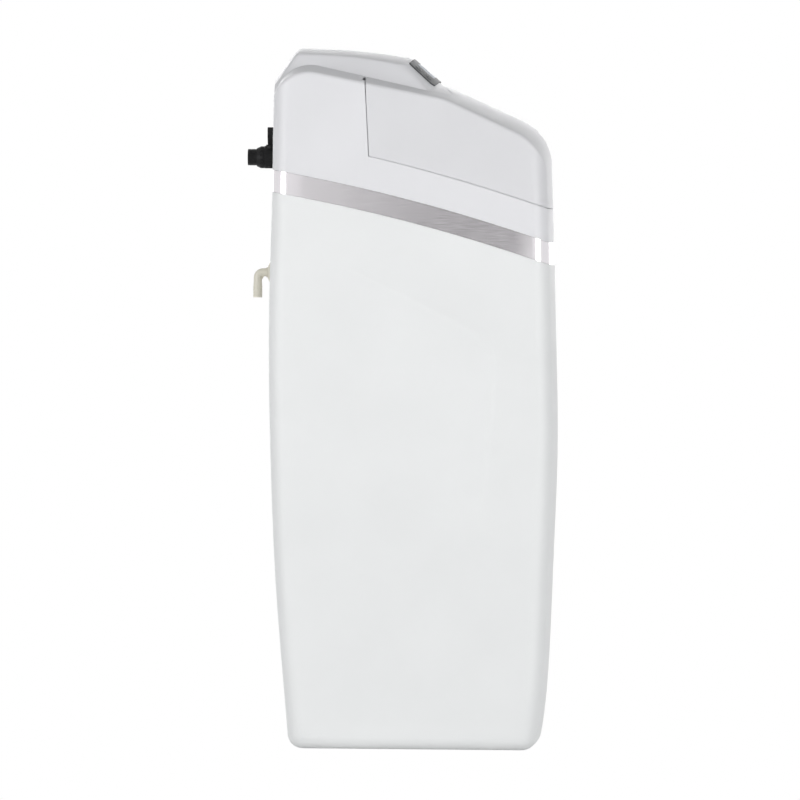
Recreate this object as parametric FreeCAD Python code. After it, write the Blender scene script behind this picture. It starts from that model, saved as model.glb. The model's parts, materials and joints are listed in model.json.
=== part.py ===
# Cabinet water softener: salt cabinet, trim band, cover with salt lid and display,
# pressure vessel, control valve with bypass, brine well and overflow.
# Millimetres. +Z is up, the front faces -Y, the origin is the centre of the base on the floor.
import FreeCAD, Part
import math
import os

V = FreeCAD.Vector
os.makedirs("parts", exist_ok=True)

# Cabinet: height above the floor, half width, reach to the front and reach to the rear
TANK_SECTIONS = (
    (0, 147.0, 206.0, 198.0),
    (90, 151.0, 218.0, 205.5),
    (260, 157.0, 226.0, 219.5),
    (480, 162.0, 233.0, 229.5),
    (700, 164.0, 228.5, 233.0),
    (830, 163.6, 225.1, 230.5),
    (960, 163.0, 220.4, 228.2),
)
COVER_SECTIONS = (
    (740, 163.5, 227.7, 230.6),
    (1180, 158.0, 212.0, 226.3),
)
CORNER = 28.0
FRONT_BOW = 6.0
REAR_BOW = 1.5
SIDE_BOW = 2.0
BASE_ROUND = 24.0
TANK_WALL = 4.0
COVER_WALL = 3.0

# Trim band, an arc that falls from the rear to the front
BAND_REAR = (225.5, 902.0)
BAND_FRONT = (-221.0, 787.5)
BAND_RISE = 9.3
BAND_HEIGHT = 36.0
BAND_INSET = 0.8
BAND_WALL = 3.2
BAND_JOINT = 0.3
LIP_HEIGHT = 14.0
LIP_WALL = 3.0
LIP_GAP = 0.3
RIM_HEIGHT = 10.0
COVER_LIP_GAP = 1.0

# Side recess of the cabinet
RECESS_DEPTH = 4.6
RECESS_CORNER = (-141.0, 667.0)
RECESS_REAR = (130.0, 793.6)
RECESS_FOOT = (-131.0, 330.0)
RECESS_ROUND = 78.0
RECESS_DRAFT = 44.0
RECESS_SOFT = 24.0

# Top of the cover on its centre line, and how far it falls to the sides
CROWN_RADIUS = 620.0
TOP_REAR_HEIGHT = 1129.5
KNEE = (-52.0, 1074.5)
TOP_FRONT_HEIGHT = 999.5
TOP_REAR_ROUND = 60.0
KNEE_ROUND = 160.0
TOP_FRONT_ROUND = 82.0
SHOULDER_ROUND = 7.0

# Hump that carries the display
HUMP_CROWN_RADIUS = 430.0
HUMP_REAR_TOP = (192.5, 1136.0)
HUMP_REAR_FOOT = (225.5, 1091.0)
HUMP_BEND = (98.0, 1134.0)
HUMP_FRONT_TOP = (8.5, 1120.5)
HUMP_SLOPE = 40.7
HUMP_HALF_WIDTH = 92.0
HUMP_EDGE_HEIGHT = 1124.0
HUMP_FLARE = 0.6
HUMP_CORNER = 40.0
HUMP_APRON = 2.0
HUMP_ROUND = 10.0
HUMP_BOW = 15.0
HUMP_FLANGE = 10.0
HUMP_BASE = 1046.0

# Salt lid
SEAM_RISE = 54.0
SEAM_GAP = 0.7
SEAM_LIP = 8.0
LID_REAR_LOW = (70.9, 960.9)
LID_REAR_HIGH = (77.0, 1069.5)
HINGE = (75.5, 1083.7)
HINGE_PIN_R = 2.0
HINGE_FIT = 0.05
HINGE_BOSS_X = 101.0
HINGE_BOSS = 9.0
HINGE_EAR_X = 120.5
HINGE_EAR = 4.0
HINGE_EYE = 4.6
HINGE_SWEEP = 7.2

# Display on the front slope of the hump; places are measured down the slope from its upper corner
BEZEL_TOP = 4.5
BEZEL_LENGTH = 56.0
BEZEL_TOP_WIDTH = 164.0
BEZEL_FOOT_WIDTH = 180.0
BEZEL_PROUD = 2.4
BEZEL_PLUG = 3.6
WINDOW_WIDTH = 96.0
WINDOW_LENGTH = 34.0
WINDOW_PLACE = 33.0
WINDOW_DEPTH = 0.7
KEY_R = 6.5
KEY_SPREAD = 67.0
KEY_PLACES = (22.0, 44.0)
KEY_TRAVEL = 0.8
KEY_CLEAR = 0.35
BOARD_THICK = 1.6
BOARD_EDGE = 2.0

# Opening for the pipes in the rear of the cover
PIPE_OPENING = (80.0, 932.0, 1014.0)
PIPE_OPENING_ROUND = 8.0

# Pressure vessel, 10 by 35 inches, on its boot behind the salt
VESSEL_R = 128.5
VESSEL_WALL = 3.0
VESSEL_Y = 62.0
VESSEL_FOOT = 12.0
VESSEL_LOW_DOME = 78.0
VESSEL_TOP = 892.0
VESSEL_TOP_DOME = 70.0
VESSEL_KNUCKLE = 45.0
NECK_R = 42.0
NECK_HEIGHT = 22.0
NECK_BORE_R = 31.0
BOOT_R = 112.0
BOOT_WALL = 4.0
RISER_R = 13.5
RISER_WALL = 1.8
RESIN_TOP = 640.0
GRAVEL_TOP = 150.0
BED_CLEAR = 0.4

# Control valve; its bore lies front to rear
VALVE_Z = 958.0
VALVE_R = 34.0
VALVE_FRONT = -30.0
VALVE_REAR = 128.0
VALVE_COLLAR_R = 52.0
VALVE_COLLAR = 24.0
STACK_R = 20.0
STACK_BORE_R = 12.0
PISTON_R = 11.6
PISTON_LENGTH = 62.0
PISTON_STROKE = 19.0
ROD_R = 4.0
PORT_SPACING = 70.0
PORT_R = 17.0
PORT_BORE_R = 13.0
PORT_END = 150.0
TURBINE_CLEAR = 0.35
TURBINE_LENGTH = 16.0

# Gears between the motor and the piston
GEAR_MODULE = 1.0
GEAR_WIDTH = 7.0
GEAR_PLAY = 0.36
DRIVE_TEETH = 60
SMALL_TEETH = 12
MIDDLE_TEETH = 48
DRIVE_TURNS = 2
BRACKET_WIDTH = 112.0
BRACKET_HEIGHT = 114.0
BRACKET_DROP = 38.0
GEAR_LEAN = 50.0
MOTOR_LEAN = 120.0
GEAR_GAP = 1.0
PINION_WIDTH = 5.0
BRACKET_THICK = 3.0
AXLE_R = 2.0
MOTOR_R = 15.0
MOTOR_LENGTH = 24.0
DRIVE_COVER_WALL = 2.0

# Bypass behind the cover
BYPASS_TUBE_R = 17.5
BYPASS_BORE_R = 7.5
BYPASS_END = 247.0
ROTOR_Y = 236.0
ROTOR_HOUSING_R = 10.4
ROTOR_R = 8.2
ROTOR_FOOT = 940.0
ROTOR_SHOULDER = 976.5
HANDLE_TOP = 1007.0
HANDLE_THICK = 10.0
HANDLE_WIDTH = 34.0
NUT_R = 17.8
STUB_R = 13.2
STUB_BORE_R = 9.5
STUB_END = 273.5
STUB_GRIP = 14.0
STUB_SHANK = 0.8
COUPLING_R = 23.0
DIAL_R = 10.0
DIAL_Y = 219.0
DIAL_LOW = 986.0
DIAL_HEIGHT = 12.4
DRAIN_R = 5.8
DRAIN_TIP_R = 5.0
DRAIN_TIP = 26.0
DRAIN_BORE_R = 3.4
DRAIN_X = 0.0
DRAIN_Z = 1005.0
DRAIN_END = 231.0

# Brine well with its safety float, and the grid that carries the salt
WELL_X = 85.0
WELL_Y = -135.0
WELL_R = 41.0
WELL_WALL = 2.5
WELL_TOP = 772.0
WELL_CAP = 12.0
GRID_TOP = 58.0
GRID_THICK = 6.0
FLOAT_R = 15.0
FLOAT_HEIGHT = 44.0
FLOAT_REST = 300.0
FLOAT_RISE = 40.0
BRINE_TUBE_R = 4.5
BRINE_BORE_R = 3.0

# Overflow elbow low on the tank's rear
OVERFLOW_X = -60.0
OVERFLOW_Z = 771.0
OVERFLOW_R = 6.7
OVERFLOW_BORE_R = 4.8
OVERFLOW_LEG_R = 7.1
OVERFLOW_LEG_Y = 255.0
OVERFLOW_LEG_END = 730.0
OVERFLOW_GRIP = 24.0
FLANGE_R = 18.0
FLANGE_TAIL_R = 11.0

SEAT = 0.3
FIT = 0.05


def circle_meet(c1, r1, c2, r2, near):
    """The crossing of two circles that lies nearest to a point."""
    dx = c2[0] - c1[0]
    dy = c2[1] - c1[1]
    d = math.hypot(dx, dy)
    along = (r1 * r1 - r2 * r2 + d * d) / (2 * d)
    off = math.sqrt(max(r1 * r1 - along * along, 0))
    ux = dx / d
    uy = dy / d
    found = []
    for side in (1, -1):
        found.append((c1[0] + along * ux - side * off * uy, c1[1] + along * uy + side * off * ux))
    return min(found, key=lambda p: math.hypot(p[0] - near[0], p[1] - near[1]))


def on_circle(centre, radius, towards):
    d = math.hypot(towards[0] - centre[0], towards[1] - centre[1])
    return (centre[0] + (towards[0] - centre[0]) / d * radius,
            centre[1] + (towards[1] - centre[1]) / d * radius)


def plan_outline(z, half_width, front, rear, corner):
    """Rounded plan of the cabinet at one height: four bowed sides and four corner arcs."""
    middle = (rear - front) / 2
    half_depth = (rear + front) / 2
    front_r = (half_width ** 2 + FRONT_BOW ** 2) / (2 * FRONT_BOW)
    rear_r = (half_width ** 2 + REAR_BOW ** 2) / (2 * REAR_BOW)
    side_r = (half_depth ** 2 + SIDE_BOW ** 2) / (2 * SIDE_BOW)
    front_c = (0, -front + front_r)
    rear_c = (0, rear - rear_r)
    side_c = (half_width - side_r, middle)
    fc = circle_meet(front_c, front_r - corner, side_c, side_r - corner, (half_width, -front))
    rc = circle_meet(rear_c, rear_r - corner, side_c, side_r - corner, (half_width, rear))
    front_in = on_circle(front_c, front_r, fc)
    front_out = on_circle(side_c, side_r, fc)
    rear_out = on_circle(side_c, side_r, rc)
    rear_in = on_circle(rear_c, rear_r, rc)
    fm = on_circle(fc, corner, ((front_in[0] + front_out[0]) / 2, (front_in[1] + front_out[1]) / 2))
    rm = on_circle(rc, corner, ((rear_in[0] + rear_out[0]) / 2, (rear_in[1] + rear_out[1]) / 2))
    right = [(front_in, fm, front_out), (front_out, (half_width, middle), rear_out), (rear_out, rm, rear_in)]
    arcs = [(flip(front_in), (0, -front), front_in)] + right + [(rear_in, (0, rear), flip(rear_in))]
    arcs += [tuple(flip(p) for p in reversed(arc)) for arc in reversed(right)]
    return Part.Wire([Part.Arc(*[V(p[0], p[1], z) for p in arc]).toShape() for arc in arcs])


def flip(p):
    return (-p[0], p[1])


def body_block(sections, inset, low=None, high=None):
    """Solid through the plan outlines, each moved inwards by inset, cut flat at low and high."""
    wires = [plan_outline(z, w - inset, f - inset, r - inset, CORNER - inset) for z, w, f, r in sections]
    solid = Part.makeLoft(wires, True, len(sections) == 2)
    if low is None:
        low = sections[0][0]
    if high is None:
        high = sections[-1][0]
    return solid.common(Part.makeBox(500, 600, high - low, V(-250, -300, low)))


def rounded_wire(points, radii, place):
    """Closed wire through points, with an arc of the given radius at each."""
    ends = []
    for i, p in enumerate(points):
        a = points[i - 1]
        b = points[(i + 1) % len(points)]
        to_a = ((a[0] - p[0]), (a[1] - p[1]))
        to_b = ((b[0] - p[0]), (b[1] - p[1]))
        la = math.hypot(*to_a)
        lb = math.hypot(*to_b)
        ua = (to_a[0] / la, to_a[1] / la)
        ub = (to_b[0] / lb, to_b[1] / lb)
        if radii[i] <= 0:
            ends.append((p, None, p))
            continue
        half = math.acos(ua[0] * ub[0] + ua[1] * ub[1]) / 2
        back = radii[i] / math.tan(half)
        bis = (ua[0] + ub[0], ua[1] + ub[1])
        lm = math.hypot(*bis)
        out = radii[i] / math.sin(half) - radii[i]
        ends.append(((p[0] + ua[0] * back, p[1] + ua[1] * back),
                     (p[0] + bis[0] / lm * out, p[1] + bis[1] / lm * out),
                     (p[0] + ub[0] * back, p[1] + ub[1] * back)))
    edges = []
    for i, (start, middle, end) in enumerate(ends):
        if middle is not None:
            edges.append(Part.Arc(place(start), place(middle), place(end)).toShape())
        edges.append(Part.makeLine(place(end), place(ends[(i + 1) % len(ends)][0])))
    return Part.Wire(edges)


def line_meet(a, b, c, d):
    den = (a[0] - b[0]) * (c[1] - d[1]) - (a[1] - b[1]) * (c[0] - d[0])
    p = a[0] * b[1] - a[1] * b[0]
    q = c[0] * d[1] - c[1] * d[0]
    return ((p * (c[0] - d[0]) - (a[0] - b[0]) * q) / den, (p * (c[1] - d[1]) - (a[1] - b[1]) * q) / den)


def inset_points(points, inset):
    """Corners of a polygon that runs anticlockwise, with every side moved inwards."""
    lines = []
    for i, a in enumerate(points):
        b = points[(i + 1) % len(points)]
        dx = b[0] - a[0]
        dy = b[1] - a[1]
        d = math.hypot(dx, dy)
        shift = (-dy / d * inset, dx / d * inset)
        lines.append(((a[0] + shift[0], a[1] + shift[1]), (b[0] + shift[0], b[1] + shift[1])))
    return [line_meet(*lines[i - 1], *lines[i]) for i in range(len(points))]


def crowned_solid(points, radii, inset, crown_radius, bow, bowed):
    """Side profile stretched across the body, falling to both sides by its crown.

    The points that bowed names stand back at the sides as the cabinet's front does."""
    reach = 180.0
    wires = []
    for x in (-reach, 0.0, reach):
        drop = x * x / (2 * crown_radius)
        back = bow * (x / COVER_SECTIONS[0][1]) ** 2
        shown = [(y + back, z) if i in bowed else (y, z) for i, (y, z) in enumerate(points)]
        wires.append(rounded_wire(inset_points(shown, inset), radii, lambda p: V(x, p[0], p[1] - drop)))
    return Part.makeLoft(wires, True, False)


def top_envelope(inset):
    """Everything under the crowned top of the cover, without the hump."""
    (low_z, low_w, low_front, low_rear), (high_z, high_w, high_front, high_rear) = COVER_SECTIONS
    outside = 0.6

    def front_at(z):
        return -low_front - outside + (low_front - high_front) * (z - low_z) / (high_z - low_z)

    def rear_at(z):
        return low_rear + outside - (low_rear - high_rear) * (z - low_z) / (high_z - low_z)

    foot = 700.0
    points = [(front_at(foot), foot), (rear_at(foot), foot), (rear_at(TOP_REAR_HEIGHT), TOP_REAR_HEIGHT), KNEE,
              (front_at(TOP_FRONT_HEIGHT), TOP_FRONT_HEIGHT)]
    radii = [0, 0, TOP_REAR_ROUND - inset, KNEE_ROUND, TOP_FRONT_ROUND - inset]
    return crowned_solid(points, radii, inset, CROWN_RADIUS, FRONT_BOW, (0, 4))


def hump_profile(inset):
    """Side profile of the hump, closed well inside the body."""
    slope = math.tan(math.radians(HUMP_SLOPE))
    foot = (HUMP_FRONT_TOP[0] - (HUMP_FRONT_TOP[1] - HUMP_BASE) / slope, HUMP_BASE)
    points = [foot, (HUMP_REAR_FOOT[0], HUMP_BASE), HUMP_REAR_FOOT, HUMP_REAR_TOP, HUMP_BEND, HUMP_FRONT_TOP]
    radii = [0, 0, 0, 14.0 - inset, 900.0, 14.0 - inset]
    return crowned_solid(points, radii, inset, HUMP_CROWN_RADIUS, HUMP_BOW, (0, 5))


def hump_footprint(grow):
    """Tapered block whose side faces are the hump's sides; its foot widens as the body falls."""
    wires = []
    for z in (HUMP_BASE, 1160.0):
        half = HUMP_HALF_WIDTH + (HUMP_EDGE_HEIGHT - z) * HUMP_FLARE + grow
        slope = math.tan(math.radians(HUMP_SLOPE))
        front = HUMP_FRONT_TOP[0] - (HUMP_FRONT_TOP[1] - z) / slope - HUMP_APRON - grow
        points = [(-half, front), (half, front), (half, 300), (-half, 300)]
        wires.append(rounded_wire(points, [HUMP_CORNER + grow, HUMP_CORNER + grow, 0, 0],
                                  lambda p: V(p[0], p[1], z)))
    return Part.makeLoft(wires, True, True)


def trim_circle(rise):
    """Centre and radius of the band's arc in the side view, lifted by rise."""
    (y1, z1), (y2, z2) = BAND_REAR, BAND_FRONT
    chord = math.hypot(y2 - y1, z2 - z1)
    radius = (chord * chord / 4 + BAND_RISE ** 2) / (2 * BAND_RISE)
    ny = (z2 - z1) / chord
    nz = -(y2 - y1) / chord
    back = radius - BAND_RISE
    return ((y1 + y2) / 2 - ny * back, (z1 + z2) / 2 - nz * back + rise), radius


def trim_height(y, rise):
    (cy, cz), radius = trim_circle(rise)
    return cz + math.sqrt(radius ** 2 - (y - cy) ** 2)


def between_arcs(low, high, half=300.0, rear=330.0, front=-330.0):
    """Block between two lifts of the band's arc; None leaves that side open."""
    def arc(rise):
        return [V(-half, y, trim_height(y, rise)) for y in (rear, (rear + front) / 2, front)]

    top = arc(high) if high is not None else None
    bottom = arc(low) if low is not None else None
    edges = []
    if bottom:
        edges.append(Part.Arc(*bottom).toShape())
        rear_low, front_low = bottom[0], bottom[2]
    else:
        rear_low, front_low = V(-half, rear, -50), V(-half, front, -50)
        edges.append(Part.makeLine(rear_low, front_low))
    if top:
        edges.append(Part.Arc(*top).toShape())
        rear_high, front_high = top[0], top[2]
    else:
        rear_high, front_high = V(-half, rear, 1400), V(-half, front, 1400)
        edges.append(Part.makeLine(rear_high, front_high))
    edges.append(Part.makeLine(rear_low, rear_high))
    edges.append(Part.makeLine(front_low, front_high))
    face = Part.Face(Part.Wire(Part.__sortEdges__(edges)))
    return face.extrude(V(2 * half, 0, 0))


def side_prism(points, radii, x_low, x_high):
    """Outline in the side view, stretched between two planes across the body."""
    wire = rounded_wire(points, radii, lambda p: V(x_low, p[0], p[1]))
    return Part.Face(wire).extrude(V(x_high - x_low, 0, 0))


def cylinder(radius, start, end):
    a = V(*start)
    b = V(*end)
    return Part.makeCylinder(radius, (b - a).Length, a, b - a)


def tube(outer, inner, start, end):
    a = V(*start)
    b = V(*end)
    way = b - a
    bore = Part.makeCylinder(inner, way.Length + 2, a - way.normalize(), b - a)
    return cylinder(outer, start, end).cut(bore)


def box(low, high):
    return Part.makeBox(high[0] - low[0], high[1] - low[1], high[2] - low[2], V(*low))


def turned(profile, centre, axis=(0, 0, 1)):
    """Solid of revolution from (radius, height) points about an axis through centre."""
    points = [V(r, 0, h) for r, h in profile]
    wire = Part.makePolygon(points + [points[0]])
    solid = Part.Face(wire).revolve(V(0, 0, 0), V(0, 0, 1), 360)
    solid.rotate(V(0, 0, 0), *turn_to(axis))
    solid.translate(V(*centre))
    return solid


def turn_to(axis):
    rotation = FreeCAD.Rotation(V(0, 0, 1), V(*axis))
    return rotation.Axis, math.degrees(rotation.Angle)


def mirrored(shape):
    return shape.mirror(V(0, 0, 0), V(1, 0, 0))


kept = {}


def keep(name, shape, merge=True):
    """Check one sub-part and write it; merge joins faces that lie on one surface."""
    shape = shape.removeSplitter() if merge and not isinstance(shape, Part.Compound) else shape
    solids = shape.Solids
    assert solids, name
    for solid in solids:
        assert solid.isValid() and solid.Volume > 0, name
    result = solids[0] if len(solids) == 1 else Part.makeCompound(solids)
    result.exportStep("parts/" + name + ".step")
    kept[name] = result
    return result


# Cabinet

def recess_tool(deeper):
    """Space of the side recess on the +X side; deeper moves it inwards for the cavity."""
    grow = deeper
    slope = (RECESS_REAR[1] - RECESS_CORNER[1]) / (RECESS_REAR[0] - RECESS_CORNER[0])
    start = (210.0, RECESS_CORNER[1] + slope * (210.0 - RECESS_CORNER[0]))
    low = (RECESS_FOOT[0] + 14.0, 180.0)
    points = [RECESS_CORNER, low, (210.0, 180.0), start]
    wires = []
    width = {z: w for z, w, f, r in TANK_SECTIONS}
    middle_x = width[700] - RECESS_DEPTH / 2
    for side in (1, -1):
        inset = side * RECESS_DRAFT
        x = middle_x - side * 18.0
        inner = inset_points(points, inset - grow)
        wires.append(rounded_wire(inner, [RECESS_ROUND - inset, 0, 0, 0], lambda p: V(x - deeper, p[0], p[1])))
    drafted = Part.makeLoft(wires, True, True)
    deep_x = width[700] - 0.7 - RECESS_DEPTH
    rear_x = width[700] - 0.2
    foot_x = width[260] + 1.1
    normal = (V(rear_x, *RECESS_REAR) - V(deep_x, *RECESS_CORNER)).cross(
        V(foot_x, *RECESS_FOOT) - V(deep_x, *RECESS_CORNER))

    def floor_at(y, z):
        x = deep_x - (normal.y * (y - RECESS_CORNER[0]) + normal.z * (z - RECESS_CORNER[1])) / normal.x
        return V(x - deeper, y, z)

    corners = [floor_at(y, z) for y, z in ((-260, 100), (260, 100), (260, 900), (-260, 900))]
    outside = Part.Face(Part.makePolygon(corners + [corners[0]])).extrude(V(80, 0, 0))
    tool = drafted.common(outside)
    floor = min((f for f in tool.Faces if isinstance(f.Surface, Part.Plane)), key=lambda f: f.BoundBox.XMin)
    foot = [e for e in floor.Edges if e.BoundBox.YMin < 150 and e.BoundBox.ZMax > 230]
    return tool.makeFillet(RECESS_SOFT, foot)


def tank_inner(inset, low, high):
    return body_block(TANK_SECTIONS, inset, low, high)


def make_tank():
    outer = body_block(TANK_SECTIONS, 0, 0)
    base_edges = [e for e in outer.Edges if e.BoundBox.ZMax < 0.01]
    outer = outer.makeFillet(BASE_ROUND, base_edges)
    outer = outer.common(between_arcs(None, 0))
    lip_out = BAND_INSET + BAND_WALL + LIP_GAP
    lip = tank_inner(lip_out, 700, 960).common(between_arcs(-RIM_HEIGHT, LIP_HEIGHT))
    cavity = body_block(TANK_SECTIONS, TANK_WALL, TANK_WALL)
    floor_edges = [e for e in cavity.Edges if e.BoundBox.ZMax < TANK_WALL + 0.01]
    cavity = cavity.makeFillet(BASE_ROUND - TANK_WALL, floor_edges).common(between_arcs(None, -RIM_HEIGHT))
    mouth = tank_inner(lip_out + LIP_WALL, 700, 960).common(between_arcs(-2 * RIM_HEIGHT, 2 * LIP_HEIGHT))
    recess = recess_tool(0)
    inner_recess = recess_tool(TANK_WALL)
    cavity = cavity.cut(inner_recess).cut(mirrored(inner_recess))
    tank = outer.cut(recess).cut(mirrored(recess)).fuse(lip).cut(cavity).cut(mouth)
    return tank


def make_band():
    ring = tank_inner(BAND_INSET, 700, 960).cut(tank_inner(BAND_INSET + BAND_WALL, 690, 970))
    return ring.common(between_arcs(BAND_JOINT, BAND_HEIGHT - BAND_JOINT))


# Cover and lid

def cover_body(inset):
    """Cover without its hump, rounded along the shoulders."""
    body = body_block(COVER_SECTIONS, inset, 740, 1180).common(top_envelope(inset))
    shoulders = []
    for edge in body.Edges:
        middle = edge.valueAt((edge.FirstParameter + edge.LastParameter) / 2)
        normals = []
        for face in body.ancestorsOfType(edge, Part.Face):
            normals.append(face.normalAt(*face.Surface.parameter(middle)))
        sharp = len(normals) == 2 and math.degrees(normals[0].getAngle(normals[1])) > 10
        if sharp and middle.z > 900:
            shoulders.append(edge)
    return body.makeFillet(SHOULDER_ROUND, shoulders)


def lid_space(grow):
    """Space of the salt lid; a positive grow makes it larger on every seam."""
    lean = (LID_REAR_HIGH[0] - LID_REAR_LOW[0]) / (LID_REAR_HIGH[1] - LID_REAR_LOW[1])
    rear_low = (LID_REAR_LOW[0] + grow - lean * 260, LID_REAR_LOW[1] - 260)
    rear_top = (LID_REAR_LOW[0] + grow + lean * (HINGE[1] - LID_REAR_LOW[1]), HINGE[1])
    points = [(-320, 700), rear_low, rear_top, (rear_top[0], 1200), (-320, 1200)]
    space = side_prism(points, [0] * 5, -300, 300)
    return space.common(between_arcs(BAND_HEIGHT + SEAM_RISE - grow, None)).cut(hump_footprint(-grow))


def hump(inset):
    """Hump with its top edges rounded, kept inside the cover's plan."""
    solid = hump_profile(inset).common(hump_footprint(-inset))
    around = []
    for face in solid.Faces:
        heights = {round(p.z, 1) for row in face.Surface.getPoles() for p in row} if face_is_spline(face) else {0}
        if len(heights) < 3 and face.BoundBox.ZLength > 1:
            around.append(face)
    rims = []
    for edge in solid.Edges:
        sides = sum(any(face.isSame(side) for side in around) for face in solid.ancestorsOfType(edge, Part.Face))
        if sides == 1 and edge.BoundBox.ZMax > HUMP_BASE + HUMP_ROUND and edge.BoundBox.YMin < HUMP_REAR_FOOT[0] - inset - 1:
            rims.append(edge)
    inside = body_block(COVER_SECTIONS, inset, HUMP_BASE - 20, COVER_SECTIONS[-1][0])
    return solid.makeFillet(HUMP_ROUND - inset, rims).common(inside)


def face_is_spline(face):
    return isinstance(face.Surface, Part.BSplineSurface)


def rounded_opening(half_width, low, high, corner, y_low, y_high):
    points = [(-half_width, low), (half_width, low), (half_width, high), (-half_width, high)]
    wire = rounded_wire(points, [corner] * 4, lambda p: V(p[0], y_low, p[1]))
    return Part.Face(wire).extrude(V(0, y_high - y_low, 0))


def cover_ring(outer, inner):
    """Upright ring between two insets of the cover's plan."""
    return body_block(COVER_SECTIONS, outer).cut(body_block(COVER_SECTIONS, inner))


def hinge_part(radius, x_low, x_high):
    return cylinder(radius, (x_low, *HINGE), (x_high, *HINGE))


def hinge_pieces(body, hump_outer):
    """Pieces of the two hinges on the +X side: the cover's boss, the lid's eye, the room it sweeps, the hole."""
    boss_end = HINGE_BOSS_X + HINGE_BOSS
    ear_end = HINGE_EAR_X + HINGE_EAR
    y, z = HINGE
    boss = hinge_part(HINGE_EYE, HINGE_BOSS_X, boss_end)
    boss = boss.fuse(box((HINGE_BOSS_X, y - 2.5, z), (boss_end, y + 2.5, z + 22)).common(hump_outer))
    eye = hinge_part(HINGE_EYE, HINGE_EAR_X, ear_end)
    eye = eye.fuse(box((HINGE_EAR_X, y - 14, z - 6), (ear_end, y, z + 8))).common(body)
    sweep = hinge_part(HINGE_SWEEP, boss_end + 0.5, 145)
    hole = hinge_part(HINGE_PIN_R + HINGE_FIT, HINGE_BOSS_X - 1, ear_end + 1)
    return boss, eye, sweep, hole


def make_flange():
    """Flange that hangs from the hump's foot beside the lid."""
    ring = hump_footprint(0).cut(hump_footprint(-COVER_WALL))
    ring = ring.common(box((-200, -150, 1000), (200, LID_REAR_HIGH[0] + 12, 1160)))
    depth = top_envelope(COVER_WALL - 0.5).cut(top_envelope(COVER_WALL + HUMP_FLANGE))
    return ring.common(depth)


def make_lips():
    """Thick rim and lip above the band, and the lips that stand inside the lid's seams."""
    seam_inner = COVER_WALL + LIP_WALL
    rim_outer = BAND_INSET + BAND_WALL + COVER_LIP_GAP
    rim_inner = rim_outer + LIP_WALL
    seam = BAND_HEIGHT + SEAM_RISE
    beside = box((-200, LID_REAR_LOW[0] - SEAM_LIP, 900), (200, LID_REAR_LOW[0] + 20, 1062))
    behind = box((-200, LID_REAR_HIGH[0] + 2, 900), (200, LID_REAR_LOW[0] + 20, 1062))
    under_lid = box((-200, -300, 700), (200, LID_REAR_LOW[0] + 20, 1062))
    above = between_arcs(seam - 12, None)
    free = between_arcs(seam - 12, seam + SEAM_LIP).common(under_lid).fuse(beside.common(above))
    joined = between_arcs(seam - 12, seam - SEAM_GAP).common(under_lid).fuse(behind.common(above))
    lips = cover_ring(COVER_WALL + 0.4, seam_inner).common(free)
    lips = lips.fuse(cover_ring(COVER_WALL - 0.5, seam_inner).common(joined))
    plug = cover_ring(rim_outer, rim_inner).common(between_arcs(BAND_HEIGHT - LIP_HEIGHT, BAND_HEIGHT + RIM_HEIGHT))
    rim = cover_ring(COVER_WALL - 0.5, rim_inner).common(between_arcs(BAND_HEIGHT, BAND_HEIGHT + RIM_HEIGHT))
    return lips.fuse([plug, rim])


def make_cover_and_lid():
    body = cover_body(0)
    body_inner = cover_body(COVER_WALL)
    shell = body.cut(body_inner)
    lid = shell.common(lid_space(-SEAM_GAP))
    hump_outer = hump(0)
    hump_inner = hump(COVER_WALL)
    boss, eye, sweep, hole = hinge_pieces(body, hump_outer)
    half_width, low, high = PIPE_OPENING
    opening = rounded_opening(half_width, low, high, PIPE_OPENING_ROUND, 180, 260)
    away = [between_arcs(None, BAND_HEIGHT), lid_space(SEAM_GAP), hump_inner, opening, sweep, mirrored(sweep)]
    cover = shell.cut(away)
    hump_shell = hump_outer.cut([hump_inner, body_inner])
    flange = make_flange().common(hump_outer).cut([sweep, mirrored(sweep)])
    cover = cover.fuse([hump_shell, flange, make_lips(), boss, mirrored(boss)])
    depth = slope_drop(BEZEL_FOOT_WIDTH / 2) + BEZEL_PLUG + 2 * COVER_WALL
    cover = cover.cut([hole, mirrored(hole), opening, slope_prism(-1.4, -depth, COVER_WALL + 6)])
    corner = box((HINGE_BOSS_X, HINGE[0] - 6, HINGE[1] - 10), (115.3, HINGE[0] + 5, HINGE[1] + 16))
    lid = lid.fuse([eye, mirrored(eye)]).cut([hole, mirrored(hole), corner, mirrored(corner)])
    return cover, lid


def make_hinge_pins():
    pin = hinge_part(HINGE_PIN_R, HINGE_BOSS_X, HINGE_EAR_X + HINGE_EAR)
    return Part.makeCompound([pin, mirrored(pin)])


# Display

def on_slope(x, s, n):
    """Point on the hump's front slope: x across, s down from its upper corner, n outwards."""
    a = math.radians(HUMP_SLOPE)
    return V(x, HUMP_FRONT_TOP[0] - s * math.cos(a) - n * math.sin(a),
             HUMP_FRONT_TOP[1] - s * math.sin(a) + n * math.cos(a))


def slope_prism(grow, low, high):
    """Outline of the bezel, grown and stretched from low to high along the slope's normal."""
    top = BEZEL_TOP - grow
    foot = BEZEL_TOP + BEZEL_LENGTH + grow
    half_top = BEZEL_TOP_WIDTH / 2 + grow
    half_foot = BEZEL_FOOT_WIDTH / 2 + grow
    points = [(-half_foot, foot), (half_foot, foot), (half_top, top), (-half_top, top)]
    wire = rounded_wire(points, [9 + grow] * 4, lambda p: on_slope(p[0], p[1], low))
    return Part.Face(wire).extrude(on_slope(0, 0, high) - on_slope(0, 0, low))


def slope_plate(width, length, place, low, high, corner):
    half = width / 2
    points = [(-half, place - length / 2), (half, place - length / 2), (half, place + length / 2),
              (-half, place + length / 2)]
    wire = rounded_wire(points, [corner] * 4, lambda p: on_slope(p[0], p[1], low))
    return Part.Face(wire).extrude(on_slope(0, 0, high) - on_slope(0, 0, low))


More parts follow.
